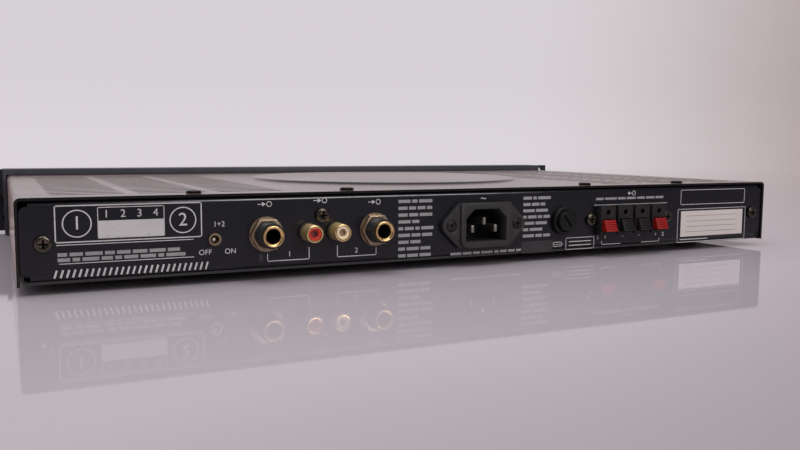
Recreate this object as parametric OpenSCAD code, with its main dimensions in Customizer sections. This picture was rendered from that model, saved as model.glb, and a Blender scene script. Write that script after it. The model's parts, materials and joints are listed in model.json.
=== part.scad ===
// Rack-mount stereo power amplifier, one rack unit high.
// Frame: X to the right seen from the front, Y from front to rear, Z up.
// The origin is on the floor, at the middle of the whole outline.

/* [Case] */
// Width of the cover over its sides
body_w = 430; // [420:1:432]
// Height of the cover's sides
body_h = 36.2; // [34:0.1:40]
// Depth from the cover's rear edge to the bezel's rim
body_d = 243; // [240:1:320]
// Thickness of the sheet steel
sheet = 1.2; // [0.8:0.1:1.6]
// Outer radius of a fold in the sheet steel
fold_r = 2.4; // [2:0.1:3]
// How far the rear panel lies inside the cover's rear edge
panel_inset = 0.8; // [0.4:0.1:2]
// Depth of the rear panel's folded flanges
flange_d = 13; // [12:0.5:14]
// Width of the relief at each end of the panel's folds
fold_relief = 3.6; // [3.4:0.1:8]
// Height of the rubber feet
foot_h = 4.4; // [4:0.1:8]
// Radius of the rubber feet
foot_r = 8; // [6.5:0.5:10]
// Distance of the feet from the case's sides
foot_in = 30; // [20:1:60]
// Distance of the feet from the rear panel and from the front plate
foot_end = 35; // [30:1:60]

/* [Cover] */
// Length of one vent slot
slot_l = 31; // [20:1:32]
// Width of one vent slot
slot_w = 3.4; // [2:0.1:5]
// Solid bar between two blocks of slots
vent_bar = 5; // [4:0.5:6]
// Distance from the case's side to the first block of slots
vent_side = 14; // [12:0.5:16]
// Distance from the cover's rear edge to the first row of slots
vent_rear = 17; // [16.5:0.5:20]
// Distance between two rows of slots
vent_pitch = 11; // [8:0.5:12]
// Rows of slots
vent_rows = 18; // [8:1:18]
// Radius of the round dome
dome_r = 87; // [70:1:92]
// Height of the round dome
dome_h = 1.2; // [0.8:0.1:3]
// Width of the dome's sloping edge
dome_edge = 2.5; // [2:0.5:14]
// Sideways place of the dome and of the transformer under it
dome_x = -8; // [-9:0.5:4]
// Distance from the cover's rear edge to the dome's middle
dome_back = 127; // [125:1:140]

/* [Front] */
// Width over the rack ears
rack_w = 482.6; // [480:0.1:484]
// Height of the front plate
plate_h = 42.4; // [41:0.1:44]
// Thickness of the front plate
plate_t = 3; // [2:0.1:5]
// Distance between the rack slots, across
rack_slot_x = 465.1; // [464:0.1:466]
// Distance between the rack slots, up
rack_slot_z = 31.75; // [31:0.05:32]
// Width of a rack slot
rack_slot_w = 6.8; // [6:0.1:7.2]
// Length of a rack slot
rack_slot_l = 10; // [8:0.1:12]
// Depth of the bezel from its rim to the front plate
bezel_d = 22; // [20:0.5:30]
// Wall of the bezel beside the cover
bezel_wall = 2.2; // [1.8:0.1:4]
// Height of the bezel above the cover
bezel_over = 4.1; // [3:0.1:6]
// Height of the bezel below the cover
bezel_under = 3.3; // [2.5:0.1:3.6]
// Radius of a level knob
knob_r = 9; // [8:0.1:12]
// How far a level knob stands out of the front plate
knob_out = 15; // [14:0.5:20]
// Radius of a level control's shaft
shaft_r = 3; // [2.5:0.1:3.2]
// Place of the first level knob
knob_x = 92; // [85:1:100]
// Distance between the level knobs
knob_pitch = 46; // [40:1:50]
// Distance from the case's side to the mains switch
rocker_in = 27; // [23:1:31]
// Height of the mains rocker
rocker_h = 16.4; // [14:0.1:18]
// Width of the mains rocker
rocker_w = 10; // [8:0.1:12]
// Angle between the rocker's two positions
rocker_swing = 20; // [14:1:22]
// Distance from the case's side to the headphone jack
phones_in = 35; // [29:1:45]
// Radius of a level lamp
lamp_r = 1.5; // [1:0.1:2.5]
// Distance between two level lamps
lamp_pitch = 9; // [7:0.5:12]
// Level lamps in a row
lamp_count = 5; // [3:1:6]

/* [Rear connectors] */
// Height of the connectors above the cover's lower edge
connector_rise = 17.2; // [16.5:0.1:18]
// Middle of the input connectors
input_x = 83.6; // [80:0.1:86]
// Distance from the middle of the inputs to a phone jack
jack_side = 27.4; // [26:0.1:29]
// How far a phone jack stands out of the rear panel
jack_out = 12.2; // [11:0.1:16]
// Radius of a phone jack's bore
jack_bore_r = 3.2; // [3:0.05:3.4]
// Outer radius of a phone jack's gold sleeve
sleeve_r = 4.85; // [4.4:0.05:5]
// Radius of a phone jack's threaded bushing
bushing_r = 5.7; // [5.4:0.1:6.2]
// Hex nut of a phone jack, across flats
jack_nut_flats = 14; // [13:0.5:16]
// Distance from the middle of the inputs to a phono socket
rca_side = 7; // [6.5:0.1:8]
// Outer radius of a phono socket's shell
rca_r = 4.15; // [3.9:0.05:4.3]
// How far a phono socket stands out of the rear panel
rca_out = 9.6; // [8:0.1:12]
// Height of the phono block's screw above the connectors
rca_screw_rise = 7.7; // [7.5:0.1:8.5]
// Place of the bridge switch
bridge_x = 134.8; // [130:0.1:138]
// Height of the bridge switch below the connectors
bridge_drop = 1.2; // [0:0.1:3]
// Angle between the bridge lever's two positions
bridge_swing = 24; // [16:1:30]
// Middle of the mains inlet
inlet_x = -5.4; // [-8:0.1:-2]
// Distance between the mains inlet's screws
inlet_screw_pitch = 40; // [39:0.1:41]
// Width of the mains inlet's opening
inlet_open_w = 24.6; // [24:0.1:25]
// Height of the mains inlet's opening
inlet_open_h = 16.9; // [16.5:0.1:17.5]
// Depth of the mains inlet's opening
inlet_open_d = 17; // [15:0.1:20]
// Middle of the fuse holder
fuse_x = -57.8; // [-60:0.1:-55]
// Radius of the fuse holder's flange
fuse_flange_r = 7.7; // [7.2:0.1:8.5]
// Radius of the fuse holder's cap
fuse_cap_r = 5.35; // [5:0.05:5.6]
// Length of the fuse
fuse_l = 20; // [18:0.1:25]
// Radius of the fuse
fuse_r = 2.6; // [2.4:0.05:3.2]
// Middle of the loudspeaker terminals
terminal_x = -105.2; // [-107:0.1:-104]
// Distance between two terminals
terminal_pitch = 12.6; // [12:0.1:13]
// Height of the terminal block
terminal_h = 16.3; // [16:0.1:18]
// How far the terminal block stands out of the rear panel
terminal_out = 4.2; // [3:0.1:6]
// Width of a terminal lever
lever_w = 8; // [7:0.1:8.4]
// Height of a terminal lever
lever_h = 6.1; // [5.6:0.1:6.6]
// How far a terminal lever stands out of its block
lever_out = 4; // [3:0.1:6]
// Radius of a wire hole
wire_r = 1.5; // [1.2:0.05:2]

/* [Inside] */
// Outer radius of the toroidal transformer
toroid_r = 52; // [45:1:54]
// Radius of the hole in the transformer
toroid_hole_r = 16; // [12:1:20]
// Thickness of a transformer pad
pad_t = 1.5; // [1:0.1:2]
// Width of a heatsink
sink_w = 94; // [80:1:95]
// Gap between the main board and a heatsink
sink_gap = 17; // [12:1:40]
// Distance between two heatsink fins
fin_pitch = 8.6; // [7:0.1:12]
// Thickness of a heatsink fin
fin_t = 1.8; // [1.2:0.1:2.5]
// Width of the main board
board_w = 250; // [230:1:260]
// Depth of the main board
board_d = 48; // [40:1:50]
// Thickness of the circuit boards
board_t = 1.6; // [1.2:0.1:2]
// Height of a board's standoffs
standoff_h = 6; // [4:0.1:7]
// Radius of a filter capacitor
cap_r = 12.5; // [10:0.1:13]

/* [Fasteners and fits] */
// Radius of a case screw's thread
screw_r = 1.5; // [1.3:0.05:1.6]
// Radius of a case screw's head
screw_head_r = 3; // [2.5:0.05:3.1]
// Height of a case screw's head
screw_head_h = 2; // [1.6:0.05:2.2]
// Radius of a rear panel screw's head
panel_head_r = 3.6; // [3:0.05:3.8]
// Radius of a cover screw's head
cover_head_r = 3.4; // [3:0.05:3.8]
// Height of a cover screw's head
cover_head_h = 1.3; // [1:0.05:1.8]
// Clearance round a screw that passes through a hole
screw_clear = 0.15; // [0.1:0.01:0.3]
// Clearance between two pieces that slide together
fit = 0.3; // [0.2:0.01:0.4]
// Clearance round a pin or a shaft that turns
turn_fit = 0.06; // [0.03:0.01:0.1]

/* [Hidden] */
$fn = 48;
// Overshoot of a cutting shape past the face that it cuts
cut = 1;

// Heights of the case
body_z = foot_h - fit;
tray_top = foot_h + sheet;
cover_top = body_z + body_h;
ceiling = cover_top - sheet;
// Free height between the cover and the tallest part inside
part_head_room = 2;
bezel_low = body_z - bezel_under;
bezel_top = cover_top + bezel_over;
plate_z = (bezel_low + bezel_top) / 2;
connector_z = body_z + connector_rise;

// Depths of the case, from the rear
front_reach = body_d + bezel_d + plate_t + knob_out;
rear_y = (front_reach + panel_inset - jack_out) / 2;
panel_face = rear_y - panel_inset;
panel_back = panel_face - sheet;
rim_y = rear_y - body_d;
plate_back = rim_y - bezel_d;
plate_face = plate_back - plate_t;
wall_back = plate_back + sheet;
cover_lap = 10;
dome_y = rear_y - dome_back;

// Widths of the case
inner_w = body_w - 2 * sheet - 2 * fit;
bezel_in_w = body_w + 2 * fit;
bezel_w = bezel_in_w + 2 * bezel_wall;
flange_w = inner_w - 2 * fold_relief;
panel_corner_r = 3;
front_wall_w = inner_w - 2 * fold_relief;
tray_wall_h = body_h - 10;
bezel_lip = 3;

// Screw places: cover, rear panel, bezel and front plate
cover_screw_x = [-148, -78, 68, 142];
cover_screw_in = 8;
cover_screw_y = rear_y - cover_screw_in;
end_tab_w = 15;
end_tab_h = 14;
end_screw_x = inner_w / 2 - end_tab_w / 2 - sheet;
bezel_screw_in = 5;
bezel_screw_rise = 6;
bezel_screw_gap = 13;
bezel_screw_y = rim_y - cover_lap - bezel_screw_in;
bezel_screw_z = [tray_top + bezel_screw_rise, tray_top + bezel_screw_rise + bezel_screw_gap];
plate_screw_in = 58;
plate_screw_x = body_w / 2 - plate_screw_in;
plate_screw_z = ceiling - part_head_room - plate_z - screw_head_r - 1;
screw_reach = 6;

// Shares of a screw head: the round of its rim, and its cross's reach, width and floor
pan_round = 0.6;
cross_reach = 0.55;
cross_w = 0.26;
cross_floor = 0.4;

// Feet
foot_x = body_w / 2 - foot_in;
foot_y = [panel_face - foot_end, plate_back + foot_end];
foot_recess = 2.6;

// Phone jacks, at the rear and for headphones
jack_body_w = 12.4;
jack_body_h = 11.4;
jack_body_d = 24;
jack_floor = 2;
jack_nut_t = 2.6;
jack_washer_t = 0.8;
sleeve_lip = 2.4;
phones_out = jack_out - 5;
input_jack_x = [input_x - jack_side, input_x + jack_side];

// Phono sockets
rca_wall = 0.7;
rca_root_r = rca_r - rca_wall / 2;
rca_collar_r = rca_r + 0.8;
rca_collar_out = 1.2;
rca_block_w = 2 * (rca_side + rca_collar_r + 1.6);
rca_block_h = jack_body_h;
rca_block_d = 10;
rca_tab_w = 9;
rca_pin_r = 1.7;
rca_x = [input_x - rca_side, input_x + rca_side];

// Bridge switch
bridge_z = connector_z - bridge_drop;
bridge_bushing_r = 2.2;
bridge_bushing_out = 1.7;
bridge_nut_r = 2.75;
bridge_nut_t = 1.6;
bridge_body = [8, 12, 9];
bridge_lever_r = 0.9;
bridge_lever_l = 4.8;
bridge_ball_r = 1.5;
bridge_pin_r = 0.4;
bridge_pin_l = 0.4;
bridge_pivot = panel_face - 1.5;

// Mains inlet
inlet_flange_t = 3;
inlet_rim_out = 4.6;
inlet_rim_w = 30;
inlet_rim_h = 23.2;
inlet_tip_r = 4.9;
inlet_shell = 1.7;
inlet_key = 4.8;
inlet_floor = 3;
inlet_body_w = inlet_open_w + 2 * inlet_shell;
inlet_body_h = inlet_open_h + 2 * inlet_shell;
inlet_floor_y = panel_face + inlet_rim_out - inlet_open_d;
pin_w = 2;
pin_h = 4;
pin_side = 7;
pin_step = 2;
pin_recess = 2.2;
pin_tail = 7;

// Fuse holder
fuse_flange_t = 2.4;
fuse_cap_out = 4.7;
fuse_bore_r = fuse_cap_r + 2 * turn_fit;
fuse_thread_r = fuse_bore_r + 1.1;
fuse_nut_flats = 2 * fuse_thread_r + 4;
fuse_nut_t = 3;
fuse_skirt = 9;
fuse_seat = 5;
fuse_end_l = 5;
fuse_tip = panel_face - fuse_skirt + fuse_seat - fuse_l;
fuse_tail = 8;
fuse_floor = 2;
fuse_slot_turn = -51;
fuse_slot_w = 1.4;
fuse_slot_d = 1.4;
fuse_slot_l = 1.5 * fuse_cap_r;

// Loudspeaker terminals
terminal_top = connector_z + 7.7;
terminal_low = terminal_top - terminal_h;
terminal_face = panel_face + terminal_out;
terminal_depth = 14;
terminal_ear = 7;
terminal_groove_w = 2.2;
terminal_groove_d = 3.2;
tower_w = terminal_pitch - terminal_groove_w;
terminal_w = 3 * terminal_pitch + tower_w;
terminal_ear_t = 2.2;
terminal_ear_in = 1;
terminal_screw_gap = 0.4;
terminal_screw_x = terminal_w / 2 + panel_head_r + terminal_screw_gap;
wire_drop = 3.8;
contact_w = 4.8;
contact_t = 0.8;
contact_l = 7;
lever_drop = 8.1;
lever_top = terminal_top - lever_drop;
lever_back = panel_face + 1.2;
lever_face = terminal_face + lever_out;
lever_pivot_y = lever_back + 1.4;
lever_pivot_z = lever_top - 1.5;
lever_pin_r = 0.8;
lever_pin_l = 0.5;
lever_room = 0.5;
lever_press = 12;
lever_rib = 0.35;
lever_slope = 2.4;

// Level controls, lamps and mains switch
pot_r = 8.2;
pot_d = 8;
pot_bushing_r = shaft_r + 0.9;
pot_bushing_out = 3;
pot_nut_flats = 2 * pot_bushing_r + 2.4;
pot_nut_t = 2;
pot_pocket = 3;
knob_gap = 1;
knob_hollow_r = pot_nut_flats / 2 / cos(30) + 0.6;
knob_hollow_d = 4;
knob_bore_d = 7;
knob_flutes = 20;
knob_places = [knob_x, knob_x + knob_pitch];
rocker_x = body_w / 2 - rocker_in;
phones_x = phones_in - body_w / 2;
lamp_out = 0.8;
lamp_rows = [-6, 6];
lamp_gap = 36;
lamp_x = knob_places[0] - lamp_gap;
switch_wall = 2;
switch_lip = 2.2;
switch_lip_t = 1.4;
rocker_tip = 4;
rocker_dip = 2.8;
rocker_side = 0.5;
rocker_root = 3;
rocker_root_h = 7;
rocker_reach = rocker_h / 2 * cos(rocker_swing / 2) + rocker_tip * sin(rocker_swing / 2);
rocker_gap = rocker_reach - rocker_h / 2 + fit / 2;
switch_w = rocker_w + 2 * fit + 2 * switch_wall;
switch_h = rocker_h + 2 * rocker_gap + 2 * switch_wall;
switch_d = 18;
rocker_pivot_y = plate_face + 2.6;
rocker_pin_r = 1;
rocker_pin_l = 1.2;
rocker_room = 6;

// Boards and what stands on them
main_top = tray_top + standoff_h + board_t;
main_front = wall_back + pot_d + board_t + 5;
main_mid_y = main_front + board_d / 2;
front_board_margin = 20;
front_board_h = 24;
front_board_y = wall_back + pot_d;
input_board_top = connector_z - jack_body_h / 2;
input_board_w = 2 * jack_side + jack_body_w + 4;
input_board_d = 26;
input_board_front = panel_back - 3 - input_board_d;
standoff_r = 2.5;
standoff_inset = 6;
cap_x = [-100, -66, 66, 100];
rectifier_size = [26, 6, 16];
relay_size = [26, 13, 15];

// Transformer
toroid_low = tray_top + pad_t;
washer_t = 2;
bolt_r = 3;
bolt_head_r = 6;
bolt_head_h = 2.5;
bolt_nut_flats = 10;
bolt_nut_t = 4;
toroid_top = ceiling - pad_t - washer_t - bolt_nut_t - part_head_room;
toroid_round = 8;

// Heatsinks and transistors
sink_base = 4;
sink_wall = 5;
sink_room = 8;
sink_head_room = 6;
sink_rear = panel_back - jack_body_d - sink_room;
sink_l = sink_rear - main_front - board_d - sink_gap;
sink_out_x = inner_w / 2 - sheet - 14;
sink_in_x = sink_out_x - sink_w;
sink_top = ceiling - sink_head_room;
transistor_size = [5, 15.6, 20];
transistor_y = [sink_rear - 0.3 * sink_l, sink_rear - 0.7 * sink_l];

// Turns a shape drawn upwards so that it points to the rear
module to_rear(x, y, z) translate([x, y, z]) rotate([-90, 0, 0]) children();

// Turns a shape drawn upwards so that it points to the front
module to_front(x, y, z) translate([x, y, z]) rotate([90, 0, 0]) children();

// Draws an outline of width and height, and carries it forward from a rear face
module forward(y, length) translate([0, y, 0]) rotate([90, 0, 0]) linear_extrude(length) children();

// Draws an outline of depth and height, and carries it across, centred
module across(width) translate([-width / 2, 0, 0]) rotate([90, 0, 90]) linear_extrude(width) children();

// A box between two corners
module block(low, high) translate(low) cube(high - low);

// Quarter ring of folded sheet, in the first quadrant
module fold() intersection() {
    difference() {
        circle(fold_r);
        circle(fold_r - sheet);
    }
    square(fold_r);
}

// Slot with round ends, running along X
module slot(length, width) {
    square([length - width, width], center = true);
    for (s = [-1, 1]) translate([s * (length - width) / 2, 0]) circle(width / 2);
}

// Hexagon bar across flats, drawn upwards
module hex(flats, height) cylinder(h = height, r = flats / 2 / cos(30), $fn = 6);

// Tube drawn upwards
module tube(outer, inner, height) difference() {
    cylinder(h = height, r = outer);
    translate([0, 0, -cut]) cylinder(h = height + 2 * cut, r = inner);
}

// Screw with a round-rimmed flat head above z = 0, a cross recess and a shank below
module pan_screw(head_r, head_h, length) {
    rim = head_h * pan_round;
    difference() {
        rotate_extrude() {
            square([head_r, head_h - rim]);
            square([head_r - rim, head_h]);
            translate([head_r - rim, head_h - rim]) intersection() {
                circle(rim);
                square(rim);
            }
        }
        for (turn = [0, 90]) rotate([0, 0, turn])
            translate([-head_r * cross_reach, -head_r * cross_w / 2, head_h * cross_floor])
                cube([head_r * cross_reach * 2, head_r * cross_w, head_h]);
    }
    translate([0, 0, -length]) cylinder(h = length, r = screw_r);
}

// Hole for a screw's thread, or with room for the screw to pass
module thread_hole(length) translate([0, 0, -length]) cylinder(h = 2 * length, r = screw_r);
module pass_hole(length) translate([0, 0, -length]) cylinder(h = 2 * length, r = screw_r + screw_clear);

// Tray: floor, side walls, and tabs that hold the rear panel
module bottom_tray() color("#2a2a2c") difference() {
    union() {
        forward(panel_back, panel_back - plate_back) tray_outline();
        for (s = [-1, 1])
            translate([s * (inner_w - end_tab_w) / 2, panel_back - sheet / 2, connector_z])
                cube([end_tab_w, sheet, end_tab_h], center = true);
    }
    for (s = [-1, 1]) {
        to_rear(s * end_screw_x, panel_back, connector_z) thread_hole(screw_reach);
        for (z = bezel_screw_z)
            translate([s * inner_w / 2, bezel_screw_y, z]) rotate([0, 90, 0]) thread_hole(screw_reach);
        for (y = foot_y) translate([s * foot_x, y, foot_h]) thread_hole(screw_reach);
    }
    translate([dome_x, dome_y, foot_h - cut]) cylinder(h = sheet + 2 * cut, r = bolt_r + screw_clear);
}

module tray_outline() {
    translate([-inner_w / 2 + fold_r, foot_h]) square([inner_w - 2 * fold_r, sheet]);
    for (s = [0, 1]) mirror([s, 0]) {
        translate([inner_w / 2 - sheet, foot_h + fold_r]) square([sheet, tray_wall_h - fold_r]);
        translate([inner_w / 2 - fold_r, foot_h + fold_r]) mirror([0, 1]) fold();
    }
}

// Front wall, welded to the tray's floor behind the front plate, which is screwed to it
module front_wall() color("#2a2a2c") difference() {
    block([-front_wall_w / 2, plate_back, tray_top], [front_wall_w / 2, wall_back, ceiling - part_head_room]);
    for (s = [-1, 1], t = [-1, 1]) to_front(s * plate_screw_x, plate_back, plate_z + t * plate_screw_z)
        thread_hole(screw_reach);
    for (x = knob_places) to_front(x, wall_back + cut, plate_z)
        cylinder(h = sheet + 2 * cut, r = pot_bushing_r + fit);
    to_front(phones_x, wall_back + cut, plate_z) cylinder(h = sheet + 2 * cut, r = bushing_r + fit);
    translate([rocker_x, plate_back + sheet / 2, plate_z])
        cube([switch_w + 2 * fit, sheet + 2 * cut, switch_h + 2 * fit], center = true);
    lamp_places() to_front(0, wall_back + cut, 0) cylinder(h = sheet + 2 * cut, r = lamp_r + fit);
}

// Rear panel: plate with a folded flange along its top and its bottom
module rear_panel() color("#17171a") difference() {
    union() {
        across(flange_w) panel_outline();
        to_rear(0, panel_back, (tray_top + ceiling) / 2) linear_extrude(sheet)
            rounded_sheet(inner_w, ceiling - tray_top - 2 * fold_r, panel_corner_r);
    }
    for (x = cover_screw_x) translate([x, cover_screw_y, ceiling]) thread_hole(screw_reach);
    for (s = [-1, 1]) to_rear(s * end_screw_x, panel_face, connector_z) pass_hole(screw_reach);
    for (x = input_jack_x) to_rear(x, panel_back - cut, connector_z)
        cylinder(h = sheet + 2 * cut, r = bushing_r + fit / 2);
    for (x = rca_x) to_rear(x, panel_back - cut, connector_z)
        cylinder(h = sheet + 2 * cut, r = rca_collar_r + fit / 2);
    to_rear(input_x, panel_face, connector_z + rca_screw_rise) pass_hole(screw_reach);
    to_rear(bridge_x, panel_back - cut, bridge_z)
        cylinder(h = sheet + 2 * cut, r = bridge_bushing_r + fit / 2);
    translate([inlet_x, panel_face - sheet / 2, connector_z])
        cube([inlet_body_w + fit, sheet + 2 * cut, inlet_body_h + fit], center = true);
    for (s = [-1, 1]) to_rear(inlet_x + s * inlet_screw_pitch / 2, panel_face, connector_z)
        thread_hole(screw_reach);
    to_rear(fuse_x, panel_back - cut, connector_z)
        cylinder(h = sheet + 2 * cut, r = fuse_thread_r + fit / 2);
    translate([terminal_x, panel_face - sheet / 2, terminal_top - terminal_h / 2])
        cube([terminal_w + fit, sheet + 2 * cut, terminal_h + fit], center = true);
    for (s = [-1, 1]) to_rear(terminal_x + s * terminal_screw_x, panel_face, connector_z)
        pass_hole(screw_reach);
}

module rounded_sheet(width, height, corner_r) {
    square([width - 2 * corner_r, height], center = true);
    square([width, height - 2 * corner_r], center = true);
    for (x = [-1, 1], y = [-1, 1]) translate([x * (width / 2 - corner_r), y * (height / 2 - corner_r)])
        circle(corner_r);
}

module panel_outline() {
    translate([panel_back, tray_top + fold_r]) square([sheet, ceiling - tray_top - 2 * fold_r]);
    translate([panel_face - flange_d, tray_top]) square([flange_d - fold_r, sheet]);
    translate([panel_face - flange_d, ceiling - sheet]) square([flange_d - fold_r, sheet]);
    translate([panel_face - fold_r, ceiling - fold_r]) fold();
    translate([panel_face - fold_r, tray_top + fold_r]) mirror([0, 1]) fold();
}

// Cover: folded top and sides with vent slots and the round dome
module top_cover() color("#202022") difference() {
    union() {
        difference() {
            forward(rear_y, body_d + cover_lap) cover_outline();
            translate([dome_x, dome_y, ceiling - cut]) cylinder(h = sheet + 2 * cut, r = dome_r);
        }
        translate([dome_x, dome_y, ceiling]) rotate_extrude() polygon(dome_outline());
    }
    for (x = cover_screw_x) translate([x, cover_screw_y, cover_top]) pass_hole(screw_reach);
    translate([0, 0, ceiling - cut]) linear_extrude(sheet + 2 * cut) vent_slots();
}

module cover_outline() {
    translate([-body_w / 2 + fold_r, ceiling]) square([body_w - 2 * fold_r, sheet]);
    for (s = [0, 1]) mirror([s, 0]) {
        translate([body_w / 2 - sheet, body_z]) square([sheet, body_h - fold_r]);
        translate([body_w / 2 - fold_r, cover_top - fold_r]) fold();
    }
}

// Half section of the dome: flat top and an edge that eases up from the sheet
function dome_rise(i, steps) = dome_h * (1 - cos(180 * i / steps)) / 2;
function dome_line(lift) = let (steps = 8)
    [for (i = [0:steps]) [dome_r - dome_edge * i / steps, dome_rise(i, steps) + lift]];
function dome_outline() = let (under = dome_line(0), over = dome_line(sheet), last = len(over) - 1)
    concat(under, [[0, dome_h], [0, dome_h + sheet]], [for (i = [last:-1:0]) over[i]]);

module vent_slots()
    for (side = [-1, 1], block = [0:2], row = [0:vent_rows - 1])
        translate([side * (body_w / 2 - vent_side - slot_l / 2 - block * (slot_l + vent_bar)),
                   rear_y - vent_rear - row * vent_pitch])
            slot(slot_l, slot_w);

// Bezel: frame round the case's front end, with a lip that closes on the cover
module front_bezel() color("#141416") difference() {
    block([-bezel_w / 2, plate_back, bezel_low], [bezel_w / 2, rim_y, bezel_top]);
    block([-bezel_in_w / 2, plate_back - cut, bezel_low + bezel_wall],
          [bezel_in_w / 2, rim_y - bezel_lip, bezel_top - bezel_wall]);
    block([-bezel_in_w / 2, rim_y - bezel_lip - cut, body_z - fit],
          [bezel_in_w / 2, rim_y + cut, cover_top + fit]);
    for (s = [-1, 1], z = bezel_screw_z)
        translate([s * bezel_w / 2, bezel_screw_y, z]) rotate([0, 90, 0]) pass_hole(screw_reach);
}

// Front plate with the rack ears
module front_plate() color("#1a1a1c") difference() {
    block([-rack_w / 2, plate_face, plate_z - plate_h / 2], [rack_w / 2, plate_back, plate_z + plate_h / 2]);
    for (s = [-1, 1], t = [-1, 1])
        to_front(s * rack_slot_x / 2, plate_back + cut, plate_z + t * rack_slot_z / 2)
            linear_extrude(plate_t + 2 * cut) slot(rack_slot_l, rack_slot_w);
    for (s = [-1, 1], t = [-1, 1])
        to_front(s * plate_screw_x, plate_back, plate_z + t * plate_screw_z) pass_hole(screw_reach);
    for (x = knob_places) to_front(x, plate_back + cut, plate_z)
        cylinder(h = plate_t + 2 * cut, r = pot_bushing_r + fit);
    to_front(phones_x, plate_back + cut, plate_z) cylinder(h = plate_t + 2 * cut, r = bushing_r + fit);
    translate([rocker_x, plate_back - plate_t / 2, plate_z])
        cube([switch_w + 2 * fit, plate_t + 2 * cut, switch_h + 2 * fit], center = true);
    lamp_places() to_front(0, plate_back + cut, 0) cylinder(h = plate_t + 2 * cut, r = lamp_r + fit / 2);
}

// Feet and their screws
module at_feet() for (s = [-1, 1], y = foot_y) translate([s * foot_x, y, 0]) children();

module rubber_feet() color("#101010") at_feet() difference() {
    cylinder(h = foot_h, r1 = foot_r - 0.8, r2 = foot_r);
    translate([0, 0, -cut]) cylinder(h = foot_recess + cut, r = screw_head_r + 1);
    translate([0, 0, -cut]) cylinder(h = foot_h + 2 * cut, r = screw_r + screw_clear);
}

module foot_screws() color("silver") at_feet()
    translate([0, 0, foot_recess]) mirror([0, 0, 1])
        pan_screw(screw_head_r, screw_head_h, tray_top - foot_recess - fit);

// Case screws
module cover_screws() color("#18181a")
    for (x = cover_screw_x) translate([x, cover_screw_y, cover_top])
        pan_screw(cover_head_r, cover_head_h, screw_reach);

module panel_screws() color("#8a7a48") {
    for (s = [-1, 1]) to_rear(s * end_screw_x, panel_face, connector_z)
        pan_screw(panel_head_r, screw_head_h, screw_reach);
    to_rear(input_x, panel_face, connector_z + rca_screw_rise)
        pan_screw(panel_head_r, screw_head_h, screw_reach);
    for (s = [-1, 1]) to_rear(terminal_x + s * terminal_screw_x, panel_face, connector_z)
        pan_screw(panel_head_r, screw_head_h, screw_reach);
}

module bezel_screws() color("#18181a")
    for (s = [-1, 1], z = bezel_screw_z) translate([s * bezel_w / 2, bezel_screw_y, z])
        rotate([0, s * 90, 0]) pan_screw(screw_head_r, screw_head_h, screw_reach);

module front_plate_screws() color("#18181a")
    for (s = [-1, 1], t = [-1, 1]) to_front(s * plate_screw_x, plate_face, plate_z + t * plate_screw_z)
        pan_screw(screw_head_r, screw_head_h, plate_t + sheet + 1);

// Every phone jack: the two inputs point to the rear, the headphone jack to the front
module at_jacks() {
    for (x = input_jack_x) to_rear(x, panel_face, connector_z) jack_frame(sheet, jack_out) children();
    to_front(phones_x, plate_face, plate_z) jack_frame(plate_t + sheet, phones_out) children();
}

// Hands the wall behind the face, and the reach in front of it, to the jack's pieces
module jack_frame(wall, reach) {
    $jack_wall = wall;
    $jack_reach = reach;
    children();
}

module phone_jacks() color("#161616") at_jacks() difference() {
    union() {
        translate([-jack_body_w / 2, -jack_body_h / 2, -$jack_wall - jack_body_d])
            cube([jack_body_w, jack_body_h, jack_body_d]);
        translate([0, 0, -$jack_wall - cut])
            cylinder(h = $jack_wall + cut + $jack_reach - sleeve_lip, r = bushing_r);
    }
    translate([0, 0, -$jack_wall - jack_body_d + jack_floor])
        cylinder(h = $jack_wall + jack_body_d + $jack_reach, r = sleeve_r);
}

module jack_sleeves() color("#c9a24a") at_jacks()
    translate([0, 0, -$jack_wall - jack_body_d + jack_floor])
        tube(sleeve_r, jack_bore_r, $jack_wall + jack_body_d - jack_floor + $jack_reach);

module jack_washers() color("#8d7a55")
    at_jacks() tube(jack_nut_flats / 2 + 1.1, bushing_r + fit / 2, jack_washer_t);

module jack_nuts() color("#8d7a55") at_jacks() translate([0, 0, jack_washer_t]) difference() {
    hex(jack_nut_flats, jack_nut_t);
    translate([0, 0, -cut]) cylinder(h = jack_nut_t + 2 * cut, r = bushing_r + turn_fit);
}

// Twin phono block, held by one screw between the sockets
module rca_block() color("#151515") to_rear(input_x, panel_back, connector_z) difference() {
    union() {
        translate([-rca_block_w / 2, -rca_block_h / 2, -rca_block_d])
            cube([rca_block_w, rca_block_h, rca_block_d]);
        translate([-rca_tab_w / 2, -rca_screw_rise - screw_head_r, -screw_reach])
            cube([rca_tab_w, rca_screw_rise + screw_head_r, screw_reach]);
        for (s = [-1, 1]) translate([s * rca_side, 0, -cut])
            cylinder(h = cut + sheet + rca_collar_out, r = rca_collar_r);
    }
    for (s = [-1, 1]) translate([s * rca_side, 0, -rca_block_d / 2])
        cylinder(h = rca_block_d, r = rca_root_r);
    translate([0, -rca_screw_rise, 0]) thread_hole(screw_reach + cut);
}

module rca_shells() color("#c9a24a") for (x = rca_x) {
    to_rear(x, panel_back - rca_block_d / 2, connector_z)
        tube(rca_root_r, rca_r - rca_wall, rca_block_d / 2 + sheet + rca_out);
    to_rear(x, panel_face + rca_collar_out, connector_z)
        tube(rca_r, rca_r - rca_wall, rca_out - rca_collar_out);
}

module rca_insert(x) to_rear(x, panel_back - rca_block_d / 2, connector_z)
    tube(rca_r - rca_wall, rca_pin_r, rca_block_d / 2 + sheet + rca_out - 0.6);

module rca_insert_red() color("#b01f1c") rca_insert(rca_x[1]);

module rca_insert_white() color("#d8cfb8") rca_insert(rca_x[0]);

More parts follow.
